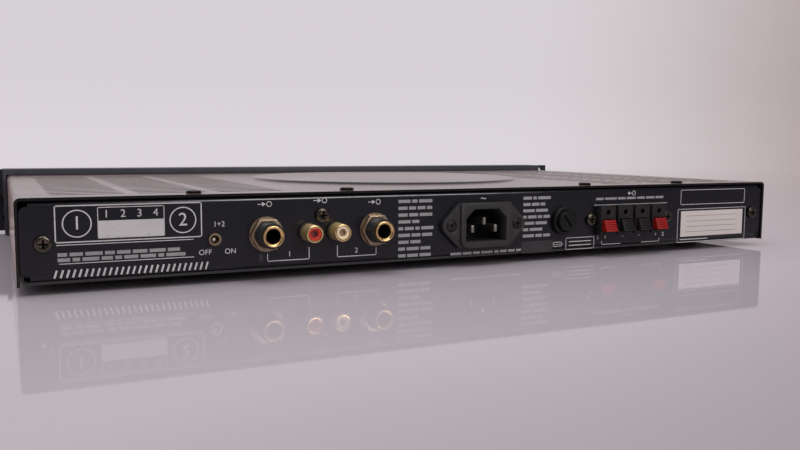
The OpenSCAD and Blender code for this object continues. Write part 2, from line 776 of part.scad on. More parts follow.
// Bridge switch: body behind the panel, bushing through it, round nut outside
module bridge_switch() color("#b9b9bd") to_rear(bridge_x, panel_face, bridge_z) difference() {
    union() {
        translate([-bridge_body[0] / 2, -bridge_body[1] / 2, -sheet - bridge_body[2]]) cube(bridge_body);
        translate([0, 0, -sheet - cut])
            cylinder(h = sheet + cut + bridge_bushing_out, r = bridge_bushing_r);
    }
    translate([0, 0, bridge_pivot - panel_face]) sphere(r = bridge_ball_r + turn_fit);
    translate([0, 0, bridge_pivot - panel_face])
        cylinder(h = bridge_bushing_out + 2 * bridge_ball_r, r1 = bridge_ball_r - 0.1, r2 = bridge_bushing_r);
    translate([0, 0, bridge_pivot - panel_face]) rotate([90, 0, 0])
        cylinder(h = 2 * (bridge_ball_r + bridge_pin_l) + fit, r = bridge_pin_r + turn_fit, center = true);
}

module bridge_switch_nut() color("#c4c4c8") to_rear(bridge_x, panel_face, bridge_z)
    tube(bridge_nut_r, bridge_bushing_r, bridge_nut_t);

// Lever at rest on its OFF side, leaning towards +X
module bridge_lever() color("#d5cfc0") translate([bridge_x, bridge_pivot, bridge_z])
    rotate([0, 0, -bridge_swing / 2]) rotate([-90, 0, 0]) {
        sphere(r = bridge_ball_r);
        cylinder(h = bridge_lever_l - bridge_lever_r, r = bridge_lever_r);
        translate([0, 0, bridge_lever_l - bridge_lever_r]) sphere(r = bridge_lever_r);
        rotate([90, 0, 0]) cylinder(h = 2 * (bridge_ball_r + bridge_pin_l), r = bridge_pin_r, center = true);
    }

// Mains inlet: diamond flange, raised rim, keyed opening and body behind the panel
module mains_inlet() color("#1c1c1e") translate([inlet_x, 0, connector_z]) difference() {
    union() {
        forward(panel_face + inlet_flange_t, inlet_flange_t) inlet_flange();
        forward(panel_face + inlet_rim_out, inlet_rim_out) inlet_rim();
        block([-inlet_body_w / 2, inlet_floor_y - inlet_floor, -inlet_body_h / 2],
              [inlet_body_w / 2, panel_face + cut, inlet_body_h / 2]);
    }
    forward(panel_face + inlet_rim_out + cut, inlet_open_d + cut) inlet_opening();
    for (s = [-1, 1]) to_rear(s * inlet_screw_pitch / 2, panel_face, 0) {
        pass_hole(inlet_flange_t + cut);
        translate([0, 0, inlet_flange_t - 1.2]) cylinder(h = inlet_flange_t, r = screw_head_r);
    }
    inlet_blades(inlet_floor + cut);
}

// Outline with a straight top and bottom and round tips about the screws
module inlet_flange() {
    away = [inlet_rim_w / 2 - inlet_screw_pitch / 2, inlet_rim_h / 2];
    lean = atan2(away[1], away[0]) - acos(inlet_tip_r / norm(away));
    touch = [inlet_screw_pitch / 2 + inlet_tip_r * cos(lean), inlet_tip_r * sin(lean)];
    polygon([[-touch[0], touch[1]], [-inlet_rim_w / 2, inlet_rim_h / 2], [inlet_rim_w / 2, inlet_rim_h / 2],
             [touch[0], touch[1]], [touch[0], -touch[1]], [inlet_rim_w / 2, -inlet_rim_h / 2],
             [-inlet_rim_w / 2, -inlet_rim_h / 2], [-touch[0], -touch[1]]]);
    for (s = [-1, 1]) translate([s * inlet_screw_pitch / 2, 0]) circle(inlet_tip_r);
}

// Rim: square above, round corners below
module inlet_rim() {
    corner = inlet_key;
    translate([-inlet_rim_w / 2, -inlet_rim_h / 2 + corner]) square([inlet_rim_w, inlet_rim_h - corner]);
    translate([-inlet_rim_w / 2 + corner, -inlet_rim_h / 2]) square([inlet_rim_w - 2 * corner, corner]);
    for (s = [-1, 1]) translate([s * (inlet_rim_w / 2 - corner), -inlet_rim_h / 2 + corner]) circle(corner);
}

// Opening with its two upper corners cut off, so that a plug fits one way up
module inlet_opening() polygon([
    [-inlet_open_w / 2, -inlet_open_h / 2], [inlet_open_w / 2, -inlet_open_h / 2],
    [inlet_open_w / 2, inlet_open_h / 2 - inlet_key], [inlet_open_w / 2 - inlet_key, inlet_open_h / 2],
    [-inlet_open_w / 2 + inlet_key, inlet_open_h / 2], [-inlet_open_w / 2, inlet_open_h / 2 - inlet_key]
]);

// Three blades, the earth blade higher than the other two
module inlet_blades(tail) for (i = [-1:1])
    block([i * pin_side - pin_w / 2, inlet_floor_y - tail, (i == 0 ? pin_step : -pin_step) - pin_h / 2],
          [i * pin_side + pin_w / 2, panel_face + inlet_rim_out - pin_recess,
           (i == 0 ? pin_step : -pin_step) + pin_h / 2]);

module inlet_pins() color("#c8c8c6")
    translate([inlet_x, 0, connector_z]) inlet_blades(inlet_floor + pin_tail);

module inlet_screws() color("#121212") for (s = [-1, 1])
    to_rear(inlet_x + s * inlet_screw_pitch / 2, panel_face + inlet_flange_t - 1.2, connector_z)
        pan_screw(screw_head_r - fit / 2, screw_head_h - 0.3, screw_reach);

// Fuse holder: flange outside, threaded tube behind, nut inside the panel
module fuse_holder() color("#161616") to_rear(fuse_x, panel_face, connector_z) difference() {
    union() {
        cylinder(h = fuse_flange_t, r = fuse_flange_r);
        translate([0, 0, fuse_tip - panel_face - fuse_tail])
            cylinder(h = panel_face - fuse_tip + fuse_tail + cut, r = fuse_thread_r);
    }
    translate([0, 0, fuse_tip - panel_face - fuse_tail + fuse_floor])
        cylinder(h = panel_face - fuse_tip + fuse_tail + fuse_flange_t, r = fuse_bore_r);
}

module fuse_holder_nut() color("#202020")
    to_rear(fuse_x, panel_back - fuse_nut_t, connector_z) difference() {
        hex(fuse_nut_flats, fuse_nut_t);
        translate([0, 0, -cut]) cylinder(h = fuse_nut_t + 2 * cut, r = fuse_thread_r);
    }

// Cap with a screwdriver slot, its skirt holding one end of the fuse
module fuse_cap() color("#191919") to_rear(fuse_x, panel_face, connector_z) difference() {
    translate([0, 0, -fuse_skirt]) cylinder(h = fuse_skirt + fuse_cap_out, r = fuse_cap_r);
    translate([0, 0, -fuse_skirt - cut]) cylinder(h = fuse_seat + cut, r = fuse_r + turn_fit);
    rotate([0, 0, fuse_slot_turn]) translate([-fuse_slot_l / 2, -fuse_slot_w / 2, fuse_cap_out - fuse_slot_d])
        cube([fuse_slot_l, fuse_slot_w, fuse_slot_d + cut]);
}

module fuse_tube() color("#dfe8ea") to_rear(fuse_x, fuse_tip + fuse_end_l, connector_z)
    tube(fuse_r - 0.25, fuse_r - 0.8, fuse_l - 2 * fuse_end_l);

module fuse_ends() color("#c8c8c6") for (y = [fuse_tip, fuse_tip + fuse_l - fuse_end_l])
    to_rear(fuse_x, y, connector_z) cylinder(h = fuse_end_l, r = fuse_r);

// Loudspeaker terminals: a base through the panel with a tower for each lever and a wire hole above it
function terminal_place(i) = terminal_x + (1.5 - i) * terminal_pitch;

module terminal_block() color("#1b1b1b") difference() {
    union() {
        block([terminal_x - terminal_w / 2, terminal_face - terminal_depth, terminal_low],
              [terminal_x + terminal_w / 2, terminal_face - terminal_groove_d, terminal_top]);
        for (i = [0:3]) translate([terminal_place(i), 0, 0])
            block([-tower_w / 2, terminal_face - 2 * terminal_groove_d, terminal_low],
                  [tower_w / 2, terminal_face, terminal_top]);
        translate([terminal_x, 0, 0])
            block([-terminal_w / 2 - terminal_ear, panel_back - terminal_ear_t,
                   terminal_low + terminal_ear_in],
                  [terminal_w / 2 + terminal_ear, panel_back, terminal_top - terminal_ear_in]);
    }
    for (i = [0:3]) translate([terminal_place(i), 0, 0]) {
        block([-lever_w / 2 - fit, lever_back - lever_press / 4, lever_top - lever_h - lever_room],
              [lever_w / 2 + fit, terminal_face + cut, lever_top + lever_room]);
        translate([0, lever_pivot_y, lever_pivot_z]) rotate([0, 90, 0])
            cylinder(h = lever_w + 2 * lever_pin_l + 2 * fit, r = lever_pin_r + turn_fit, center = true);
        to_rear(0, terminal_face - terminal_depth - cut, terminal_top - wire_drop)
            cylinder(h = terminal_depth + 2 * cut, r = wire_r);
    }
    for (s = [-1, 1]) to_rear(terminal_x + s * terminal_screw_x, panel_back, connector_z)
        thread_hole(screw_reach);
}

// Lever that turns on two pins in its bay: its face leans back to the top, with fine ribs for the finger
function lever_outline() = let (low = lever_top - lever_h)
    [[lever_back, low], [lever_face, low], [lever_face - lever_slope, lever_top], [lever_back, lever_top]];

module terminal_lever(i) translate([terminal_place(i), 0, 0]) {
    difference() {
        across(lever_w) polygon(lever_outline());
        for (k = [1:4]) translate([0, lever_face - lever_slope * k / 5, lever_top - lever_h * (5 - k) / 5])
            rotate([atan(lever_slope / lever_h), 0, 0])
                cube([lever_w + 2 * cut, 2 * lever_rib, lever_rib], center = true);
    }
    for (s = [-1, 1]) translate([s * (lever_w + lever_pin_l) / 2, lever_pivot_y, lever_pivot_z])
        rotate([0, 90, 0]) cylinder(h = lever_pin_l, r = lever_pin_r, center = true);
}

module lever_right_plus() color("#b3201d") terminal_lever(0);

module lever_right_ground() color("#1e1e1e") terminal_lever(1);

module lever_left_ground() color("#1e1e1e") terminal_lever(2);

module lever_left_plus() color("#b3201d") terminal_lever(3);

module terminal_contacts() color("#c8b878") for (i = [0:3])
    translate([terminal_place(i), terminal_face - terminal_depth, terminal_top - wire_drop])
        block([-contact_w / 2, -contact_l, -contact_t / 2], [contact_w / 2, 0, contact_t / 2]);

// Circuit boards and their standoffs
module main_board() color("#3c6b3a")
    block([-board_w / 2, main_front, main_top - board_t], [board_w / 2, main_front + board_d, main_top]);

module input_board() color("#3c6b3a")
    block([input_x - input_board_w / 2, input_board_front, input_board_top - board_t],
          [input_x + input_board_w / 2, input_board_front + input_board_d, input_board_top]);

module front_board() color("#3c6b3a")
    block([lamp_x - (lamp_count - 1) * lamp_pitch - front_board_margin, front_board_y,
           plate_z - front_board_h / 2],
          [knob_places[1] + front_board_margin, front_board_y + board_t, plate_z + front_board_h / 2]);

module board_standoffs() color("#b8b8b4") {
    for (x = [-1, 0, 1], y = [-1, 1])
        translate([x * (board_w / 2 - standoff_inset), main_mid_y + y * (board_d / 2 - standoff_inset),
                   tray_top])
            cylinder(h = standoff_h, r = standoff_r);
    for (s = [-1, 1])
        translate([input_x + s * (input_board_w / 2 - standoff_inset), input_board_front + standoff_inset,
                   tray_top])
            cylinder(h = input_board_top - board_t - tray_top, r = standoff_r);
}

// Toroidal transformer, clamped by a dished washer and one bolt
module toroid_transformer() color("#b98a3a")
    translate([dome_x, dome_y, toroid_low]) rotate_extrude() toroid_outline();

module toroid_outline() {
    h = toroid_top - toroid_low;
    translate([toroid_hole_r, toroid_round]) square([toroid_r - toroid_hole_r, h - 2 * toroid_round]);
    translate([toroid_hole_r + toroid_round, 0]) square([toroid_r - toroid_hole_r - 2 * toroid_round, h]);
    for (r = [toroid_hole_r + toroid_round, toroid_r - toroid_round], z = [toroid_round, h - toroid_round])
        translate([r, z]) circle(toroid_round);
}

module transformer_pads() color("#151515") for (z = [tray_top, toroid_top])
    translate([dome_x, dome_y, z]) tube(toroid_r - toroid_round, bolt_r + 1, pad_t);

module transformer_washer() color("silver") translate([dome_x, dome_y, toroid_top + pad_t])
    tube(toroid_r - toroid_round - 4, bolt_r + screw_clear, washer_t);

module transformer_bolt() color("silver") translate([dome_x, dome_y, 0]) {
    translate([0, 0, foot_h - bolt_head_h]) cylinder(h = bolt_head_h, r = bolt_head_r);
    translate([0, 0, foot_h]) cylinder(h = toroid_top + pad_t + washer_t + bolt_nut_t - foot_h, r = bolt_r);
    translate([0, 0, toroid_top + pad_t + washer_t]) difference() {
        hex(bolt_nut_flats, bolt_nut_t);
        translate([0, 0, -cut]) cylinder(h = bolt_nut_t + 2 * cut, r = bolt_r + turn_fit);
    }
}

// Heatsinks: base on the tray, fins along the depth, inner wall for the transistors
module heatsink() {
    block([sink_in_x, sink_rear - sink_l, tray_top], [sink_out_x, sink_rear, tray_top + sink_base]);
    block([sink_in_x, sink_rear - sink_l, tray_top + sink_base],
          [sink_in_x + sink_wall, sink_rear, sink_top]);
    for (x = [sink_in_x + sink_wall + fin_pitch : fin_pitch : sink_out_x - fin_t])
        block([x, sink_rear - sink_l, tray_top + sink_base], [x + fin_t, sink_rear, sink_top]);
}

module heatsink_right() color("#9a9ca0") heatsink();

module heatsink_left() color("#9a9ca0") mirror([1, 0, 0]) heatsink();

module power_transistors() color("#161616") for (s = [0, 1], y = transistor_y) mirror([s, 0, 0])
    translate([sink_in_x - transistor_size[0], y, tray_top + sink_base]) cube(transistor_size);

// Parts on the main board
module filter_capacitors() color("#20242c") for (x = cap_x)
    translate([x, main_mid_y, main_top]) cylinder(h = ceiling - part_head_room - main_top, r = cap_r);

module bridge_rectifier() color("#161616")
    translate([-rectifier_size[0] - 4, main_mid_y, main_top]) cube(rectifier_size);

module output_relay() color("#33506e") translate([4, main_mid_y, main_top]) cube(relay_size);

// Level controls: pot behind the front wall, shaft through its bushing, knob outside
module at_pots() for (x = knob_places) to_front(x, wall_back, plate_z) children();

module level_pots() color("#7d7f84") at_pots() difference() {
    union() {
        translate([0, 0, -pot_d]) cylinder(h = pot_d, r = pot_r);
        translate([0, 0, -cut]) cylinder(h = cut + sheet + plate_t + pot_bushing_out, r = pot_bushing_r);
    }
    translate([0, 0, -pot_pocket])
        cylinder(h = pot_pocket + sheet + plate_t + knob_out, r = shaft_r + turn_fit);
}

module pot_nuts() color("silver") at_pots() translate([0, 0, sheet + plate_t]) difference() {
    hex(pot_nut_flats, pot_nut_t);
    translate([0, 0, -cut]) cylinder(h = pot_nut_t + 2 * cut, r = pot_bushing_r);
}

module pot_shaft(x) to_front(x, wall_back + pot_pocket - fit, plate_z)
    cylinder(h = pot_pocket - fit + sheet + plate_t + knob_gap + knob_hollow_d + knob_bore_d, r = shaft_r);

module pot_shaft_left() color("silver") pot_shaft(knob_places[0]);

module pot_shaft_right() color("silver") pot_shaft(knob_places[1]);

// Knob with flutes round its side and a pointer groove, hollow over the nut
module level_knob(x) to_front(x, plate_face - knob_gap, plate_z) difference() {
    cylinder(h = knob_out - knob_gap, r = knob_r);
    translate([0, 0, -cut]) cylinder(h = knob_hollow_d + cut, r = knob_hollow_r);
    cylinder(h = knob_hollow_d + knob_bore_d, r = shaft_r);
    for (i = [0:knob_flutes - 1]) rotate([0, 0, 360 * i / knob_flutes]) translate([knob_r + 0.3, 0, 2])
        cylinder(h = knob_out, r = 0.8);
    translate([-0.5, knob_r * 0.3, knob_out - knob_gap - 0.6]) cube([1, knob_r, 2]);
}

module level_knob_left() color("#191919") level_knob(knob_places[0]);

module level_knob_right() color("#191919") level_knob(knob_places[1]);

// Mains switch: frame on the front plate, housing behind it, rocker on two pins
module power_switch() color("#151515") translate([rocker_x, 0, plate_z]) difference() {
    union() {
        block([-switch_w / 2 - switch_lip, plate_face - switch_lip_t, -switch_h / 2 - switch_lip],
              [switch_w / 2 + switch_lip, plate_face, switch_h / 2 + switch_lip]);
        block([-switch_w / 2, plate_face - switch_lip_t, -switch_h / 2],
              [switch_w / 2, plate_face + switch_d, switch_h / 2]);
    }
    block([-rocker_w / 2 - fit, plate_face - switch_lip_t - cut, -rocker_h / 2 - rocker_gap],
          [rocker_w / 2 + fit, rocker_pivot_y + rocker_room, rocker_h / 2 + rocker_gap]);
    translate([0, rocker_pivot_y, 0]) rotate([0, 90, 0])
        cylinder(h = rocker_w + 2 * fit + 2 * rocker_pin_l, r = rocker_pin_r + turn_fit, center = true);
}

// Rocker at rest with its lower end pressed in
module power_rocker() color("#1d1d1d")
    translate([rocker_x, rocker_pivot_y, plate_z]) rotate([rocker_swing / 2, 0, 0]) {
        across(rocker_w) rocker_outline();
        rotate([0, 90, 0]) cylinder(h = rocker_w + 2 * rocker_pin_l, r = rocker_pin_r, center = true);
    }

module rocker_outline() polygon([
    [rocker_root, -rocker_root_h / 2], [rocker_root, rocker_root_h / 2],
    [-rocker_side, rocker_h / 2], [-rocker_tip, rocker_h / 2], [-rocker_dip, 0],
    [-rocker_tip, -rocker_h / 2], [-rocker_side, -rocker_h / 2]
]);

// Two rows of level lamps, from the front board to just outside the plate
module lamp_places() for (row = lamp_rows, i = [0:lamp_count - 1])
    translate([lamp_x - i * lamp_pitch, 0, plate_z + row]) children();

module level_lamps() color("#4aa84f") lamp_places() to_front(0, front_board_y, 0)
    cylinder(h = front_board_y - plate_face + lamp_out, r = lamp_r);

bottom_tray();
front_wall();
rear_panel();
top_cover();
front_bezel();
front_plate();
rubber_feet();
foot_screws();
cover_screws();
panel_screws();
bezel_screws();
front_plate_screws();
phone_jacks();
jack_sleeves();
jack_nuts();
jack_washers();
rca_block();
rca_shells();
rca_insert_red();
rca_insert_white();
bridge_switch();
bridge_switch_nut();
bridge_lever();
mains_inlet();
inlet_pins();
inlet_screws();
fuse_holder();
fuse_holder_nut();
fuse_cap();
fuse_tube();
fuse_ends();
terminal_block();
lever_right_plus();
lever_right_ground();
lever_left_ground();
lever_left_plus();
terminal_contacts();
main_board();
input_board();
front_board();
board_standoffs();
toroid_transformer();
transformer_pads();
transformer_washer();
transformer_bolt();
heatsink_right();
heatsink_left();
power_transistors();
filter_capacitors();
bridge_rectifier();
output_relay();
level_pots();
pot_nuts();
pot_shaft_left();
pot_shaft_right();
level_knob_left();
level_knob_right();
power_switch();
power_rocker();
level_lamps();
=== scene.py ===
import json
import math

import bmesh
import bpy
from mathutils import Euler, Matrix, Vector


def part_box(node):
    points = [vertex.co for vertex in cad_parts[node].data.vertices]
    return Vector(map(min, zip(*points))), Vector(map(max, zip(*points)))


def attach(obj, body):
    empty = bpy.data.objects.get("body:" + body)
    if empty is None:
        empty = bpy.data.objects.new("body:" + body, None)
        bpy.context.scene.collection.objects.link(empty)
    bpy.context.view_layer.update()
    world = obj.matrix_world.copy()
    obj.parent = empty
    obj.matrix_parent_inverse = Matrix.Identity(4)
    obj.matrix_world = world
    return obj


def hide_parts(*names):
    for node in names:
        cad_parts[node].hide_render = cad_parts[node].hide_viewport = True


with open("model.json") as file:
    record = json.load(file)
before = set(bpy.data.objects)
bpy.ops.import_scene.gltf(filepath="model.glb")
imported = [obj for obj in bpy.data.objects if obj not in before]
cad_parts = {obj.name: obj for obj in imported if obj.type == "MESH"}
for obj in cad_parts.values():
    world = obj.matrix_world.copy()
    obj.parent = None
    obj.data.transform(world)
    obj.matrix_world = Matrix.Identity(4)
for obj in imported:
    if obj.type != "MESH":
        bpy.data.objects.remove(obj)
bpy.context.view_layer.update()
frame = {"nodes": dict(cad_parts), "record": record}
nodes = frame["nodes"]
mounts = {mount["name"]: Vector(mount["pos_m"]) for mount in frame["record"]["mounts"]}
bodies = frame["record"]["behaviour"]["bodies"]
bodyOf = {node: body for body, members in bodies.items() for node in members}
mm = 0.001
xAxis, yAxis, zAxis = 0, 1, 2
rearward, forward = (0, 1, 0), (0, -1, 0)
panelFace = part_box("rear_panel")[1].y
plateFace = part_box("front_plate")[0].y
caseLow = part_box("top_cover")[0].z
print("frame loaded,", len(nodes), "nodes")


def middleOf(nodeName):
    low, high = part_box(nodeName)
    return (low + high) / 2


# a socket that takes part in sums: each sum adds a Math node
class Link:
    def __init__(self, tree, socket):
        self.tree = tree
        self.socket = socket

    # another output of the same node
    def sibling(self, out):
        return Link(self.tree, self.socket.node.outputs[out])

    def sum(self, operation, first, second):
        return self.tree.add("ShaderNodeMath", {"operation": operation}, {0: first, 1: second})

    def __add__(self, other):
        return self.sum("ADD", self, other)

    def __radd__(self, other):
        return self.sum("ADD", other, self)

    def __sub__(self, other):
        return self.sum("SUBTRACT", self, other)

    def __rsub__(self, other):
        return self.sum("SUBTRACT", other, self)

    def __mul__(self, other):
        return self.sum("MULTIPLY", self, other)

    def __rmul__(self, other):
        return self.sum("MULTIPLY", other, self)

    def __truediv__(self, other):
        return self.sum("DIVIDE", self, other)

    def __pow__(self, other):
        return self.sum("POWER", self, other)


# one way to add any node: its type, its settings, then its sockets
class Tree:
    def __init__(self, nodeTree):
        self.nodeTree = nodeTree

    def add(self, kind, settings=None, sockets=None, out=0):
        node = self.nodeTree.nodes.new(kind)
        for key, value in (settings or {}).items():
            if key == "stops":
                self.setStops(node.color_ramp, value)
            else:
                setattr(node, key, value)
        for key, value in (sockets or {}).items():
            self.feed(node.inputs[key], value)
        return Link(self, node.outputs[out])

    # a ramp with hard steps
    def setStops(self, ramp, stops):
        ramp.interpolation = "CONSTANT"
        while len(ramp.elements) < len(stops):
            ramp.elements.new(1.0)
        for element, (place, tone) in zip(ramp.elements, stops):
            element.position = place
            element.color = (*tone, 1)

    def feed(self, socket, value):
        if isinstance(value, Link):
            self.nodeTree.links.new(value.socket, socket)
        elif hasattr(value, "__len__") and len(value) == 3 and socket.type == "RGBA":
            socket.default_value = (*value, 1)
        else:
            socket.default_value = value

    def blend(self, factor, first, second):
        return self.add("ShaderNodeMix", {"data_type": "RGBA"}, {0: factor, 6: first, 7: second}, out=2)

    def spread(self, value, low, high, toLow=0.0, toHigh=1.0):
        return self.add("ShaderNodeMapRange", sockets={"Value": value, "From Min": low, "From Max": high,
                                                       "To Min": toLow, "To Max": toHigh})

    def part(self, vector, axis):
        return self.add("ShaderNodeSeparateXYZ", sockets={"Vector": vector}, out=axis)


cloudEdge = (0.3, 0.7)  # noise at which a cloud begins and is full


class Finish(Tree):
    def __init__(self, name):
        self.material = bpy.data.materials.new(name)
        self.material.use_nodes = True
        super().__init__(self.material.node_tree)
        self.nodeTree.nodes.clear()
        self.shader = self.nodeTree.nodes.new("ShaderNodeBsdfPrincipled")
        self.output = self.nodeTree.nodes.new("ShaderNodeOutputMaterial")
        self.nodeTree.links.new(self.shader.outputs[0], self.output.inputs[0])
        self.place = self.add("ShaderNodeTexCoord", out="Object")

    def shade(self, sockets):
        for key, value in sockets.items():
            self.feed(self.shader.inputs[key], value)
        return self.material

    def along(self, axis):
        return self.part(self.place, axis)

    def stretched(self, scale):
        return self.add("ShaderNodeMapping", sockets={"Vector": self.place, "Scale": scale})

    def noise(self, size, detail=2.0, roughness=0.5, at=None):
        return self.add("ShaderNodeTexNoise", sockets={"Vector": at or self.place, "Scale": 1 / size,
                                                       "Detail": detail, "Roughness": roughness})

    def bump(self, height, depth):
        return self.add("ShaderNodeBump", sockets={"Height": height, "Distance": depth})

    # two tones in soft clouds
    def mottled(self, cloud, first, second):
        return self.blend(self.spread(cloud, *cloudEdge), first, second)

    # a noise as a swing to either side of nothing
    def swing(self, noise, amount):
        return (noise - 0.5) * amount

    # nearness to a place along one axis: 1 at the place, 0 past the reach
    def near(self, axis, place, reach, soft):
        off = self.add("ShaderNodeMath", {"operation": "ABSOLUTE"}, {0: self.along(axis) - place})
        return self.spread(off, reach, reach - soft)

    # a patch of the coat, broken up by grain: rubbed for a scuff, a painted highlight with some wear for
    # the fold
    def rubbed(self, mark):
        x, z = mark["at"]
        wide, tall = mark["reach"]
        soft = mark["fade"]
        patch = self.near(xAxis, x, wide, wide * soft) * self.near(zAxis, z, tall, tall * soft)
        grain = self.noise(mark["grain"], detail=3.0, roughness=0.7)
        return patch * self.spread(grain, *mark["breaks"]) * mark["strength"]


def times(tone, share):
    return [c * share for c in tone]


# Finishes: lengths are in metres, and each maker's usual values stand before it
# powder coat: orange peel, fine grain, dust where the surface faces up, and, where an edge tone is given,
# a painted shade on faces that don't face up
coatUsual = {"finer": 6, "cloud": 0.06, "lift": 1.25, "facesUp": (0.8, 1.0), "speck": 0.0011,
             "speckEdge": (0.66, 0.74), "haze": (0.35, 0.75, 0.25, 1.0), "speckDust": 0.35,
             "evenDust": 0.1, "dustTone": (0.38, 0.32, 0.30), "cloudRough": 0.12, "grainRough": 0.1,
             "dustRough": 0.3, "peelShare": 0.75, "grainShare": 0.25, "gloss": 0.5, "worn": [],
             "film": 0.0, "filmRough": 0.3, "filmTint": (1.0, 0.62, 0.60)}


def powderCoat(name, given):
    f = Finish(name)
    look = {**coatUsual, **given}
    peel = f.noise(look["peel"])
    grain = f.noise(look["peel"] / look["finer"])
    cloud = f.noise(look["cloud"], detail=3.0, roughness=0.6)
    up = f.spread(f.part(f.add("ShaderNodeNewGeometry", out="Normal"), zAxis), *look["facesUp"])
    specks = f.spread(f.noise(look["speck"], detail=1.0, roughness=0.7), *look["speckEdge"])
    haze = f.spread(cloud, *look["haze"])
    dust = up * haze * (specks * look["speckDust"] + look["evenDust"]) * look["dust"]
    tone = f.mottled(cloud, look["tone"], times(look["tone"], look["lift"]))
    # painted shade: faces that don't face up take the darker edge tone
    tone = f.blend(up, look.get("edge", look["tone"]), tone)
    tone = f.blend(dust, tone, look["dustTone"])
    # the painted highlight with wear along the fold, and a real scuff: each a patch of its own tone
    for mark in look["worn"]:
        tone = f.blend(f.rubbed(mark), tone, mark["tone"])
    rough = (look["rough"] + f.swing(cloud, look["cloudRough"]) + f.swing(grain, look["grainRough"])
             + dust * look["dustRough"])
    relief = f.bump(peel * look["peelShare"] + grain * look["grainShare"], look["relief"])
    return f.shade({"Base Color": tone, "Roughness": rough, "Normal": relief,
                    "Specular IOR Level": look["gloss"], "Sheen Weight": look["film"],
                    "Sheen Roughness": look["filmRough"], "Sheen Tint": look["filmTint"]})


# moulded plastic: fine spark texture, slightly uneven tone, and, where it has a depth, a painted shade
# that goes dark and dull deep inside
mouldUsual = {"grain": 0.0004, "relief": 0.00003, "cloud": 0.012, "lift": 1.35, "cloudRough": 0.18,
              "grainRough": 0.08, "gloss": 0.5, "deepTone": 0.15}


def moulded(name, given):
    f = Finish(name)
    look = {**mouldUsual, **given}
    grain = f.noise(look["grain"])
    cloud = f.noise(look["cloud"], detail=3.0, roughness=0.6)
    tone = f.mottled(cloud, look["tone"], times(look["tone"], look["lift"]))
    rough = look["rough"] + f.swing(cloud, look["cloudRough"]) + f.swing(grain, look["grainRough"])
    # painted shade: darker and duller below the face, deep inside the moulding
    if "deep" in look:
        outer = f.spread(f.along(yAxis), *look["deep"])
        tone = f.blend(outer, times(look["tone"], look["deepTone"]), tone)
        rough = 1.0 - outer * (1.0 - rough)
    return f.shade({"Base Color": tone, "Roughness": rough, "Normal": f.bump(grain, look["relief"]),
                    "Specular IOR Level": look["gloss"]})


# plated or bare metal: smears, hairlines and a little tarnish, and a painted shade in a recess where it
# has a depth
tarnishEdge = (0.4, 0.8)
metalUsual = {"smear": 0.004, "hairSize": 0.0003, "hair": (1, 1, 1), "smearRough": 0.16, "scratch": 0.12,
              "relief": 0.000008, "deepTone": 0.08}


def metal(name, given):
    f = Finish(name)
    look = {**metalUsual, **given}
    smear = f.noise(look["smear"], detail=3.0, roughness=0.6)
    hair = f.noise(look["hairSize"], detail=2.0, roughness=0.6, at=f.stretched(look["hair"]))
    tone = f.blend(f.spread(smear, *tarnishEdge), look["tone"], look["dull"])
    # painted shade: the tone goes dark in the recess below the face
    if "deep" in look:
        outer = f.spread(f.along(yAxis), *look["deep"])
        tone = f.blend(outer, times(look["tone"], look["deepTone"]), tone)
    rough = look["rough"] + f.swing(smear, look["smearRough"]) + f.swing(hair, look["scratch"])
    return f.shade({"Base Color": tone, "Metallic": 1.0, "Roughness": rough,
                    "Normal": f.bump(hair, look["relief"])})


# gold plate on a turned barrel: satin along its side, polished at the lip
def goldBarrel(name, look):
    f = Finish(name)
    smear = f.noise(look["smear"], detail=3.0, roughness=0.6)
    tool = f.noise(look["tool"], detail=2.0, roughness=0.6, at=f.stretched(look["grooves"]))
    lip = f.spread(f.along(yAxis), *look["lip"])
    tone = f.blend(f.spread(smear, *tarnishEdge), look["tone"], look["dull"])
    rough = look["rough"] - lip * look["polish"] + f.swing(smear, look["smearRough"])
    return f.shade({"Base Color": tone, "Metallic": look["metal"] + lip * (1.0 - look["metal"]),
                    "Roughness": rough, "Normal": f.bump(tool, look["relief"])})


# screen print: a thin, slightly broken coat of ink
inkUsual = {"breaks": 0.0012, "breakEdge": (0.62, 0.72), "cloud": 0.02, "fade": 0.86, "rough": 0.55,
            "cloudRough": 0.2, "grain": 0.0004, "relief": 0.00001}


def inked(name, given):
    f = Finish(name)
    look = {**inkUsual, **given}
    wear = f.spread(f.noise(look["breaks"], detail=3.0, roughness=0.75), *look["breakEdge"])
    cloud = f.noise(look["cloud"])
    tone = f.mottled(cloud, look["tone"], times(look["tone"], look["fade"]))
    return f.shade({"Base Color": f.blend(wear * look["wear"], tone, look["under"]),
                    "Roughness": look["rough"] + f.swing(cloud, look["cloudRough"]),
                    "Normal": f.bump(f.noise(look["grain"]), look["relief"])})


def paperLabel(name, look):
    f = Finish(name)
    strands = f.noise(look["strand"], detail=4.0, roughness=0.7)
    tone = f.mottled(f.noise(look["cloud"]), look["tone"], times(look["tone"], look["fade"]))
    return f.shade({"Base Color": f.blend(f.spread(strands, *look["strandEdge"]), tone, look["fibre"]),
                    "Roughness": look["rough"] + f.swing(strands, look["strandRough"]),
                    "Normal": f.bump(strands, look["relief"])})


# green board: traces and pads under solder mask
def circuitBoard(name, look):
    f = Finish(name)
    cell = f.add("ShaderNodeTexVoronoi", {"distance": "MANHATTAN", "feature": "F1"},
                 {"Vector": f.place, "Scale": 1 / look["pitch"]})
    trace = f.add("ShaderNodeTexBrick", sockets={"Vector": f.place, "Scale": 1 / look["pitch"],
                                                 "Mortar Size": look["traceWide"]}, out="Fac")
    pad = f.spread(cell, *look["padEdge"])
    mask = f.blend(trace, look["mask"], look["trace"])
    return f.shade({"Base Color": f.blend(pad, mask, look["pad"]), "Metallic": pad * look["padMetal"],
                    "Roughness": look["rough"] - pad * look["padPolish"],
                    "Normal": f.bump(trace * look["traceHigh"] + pad, look["relief"])})


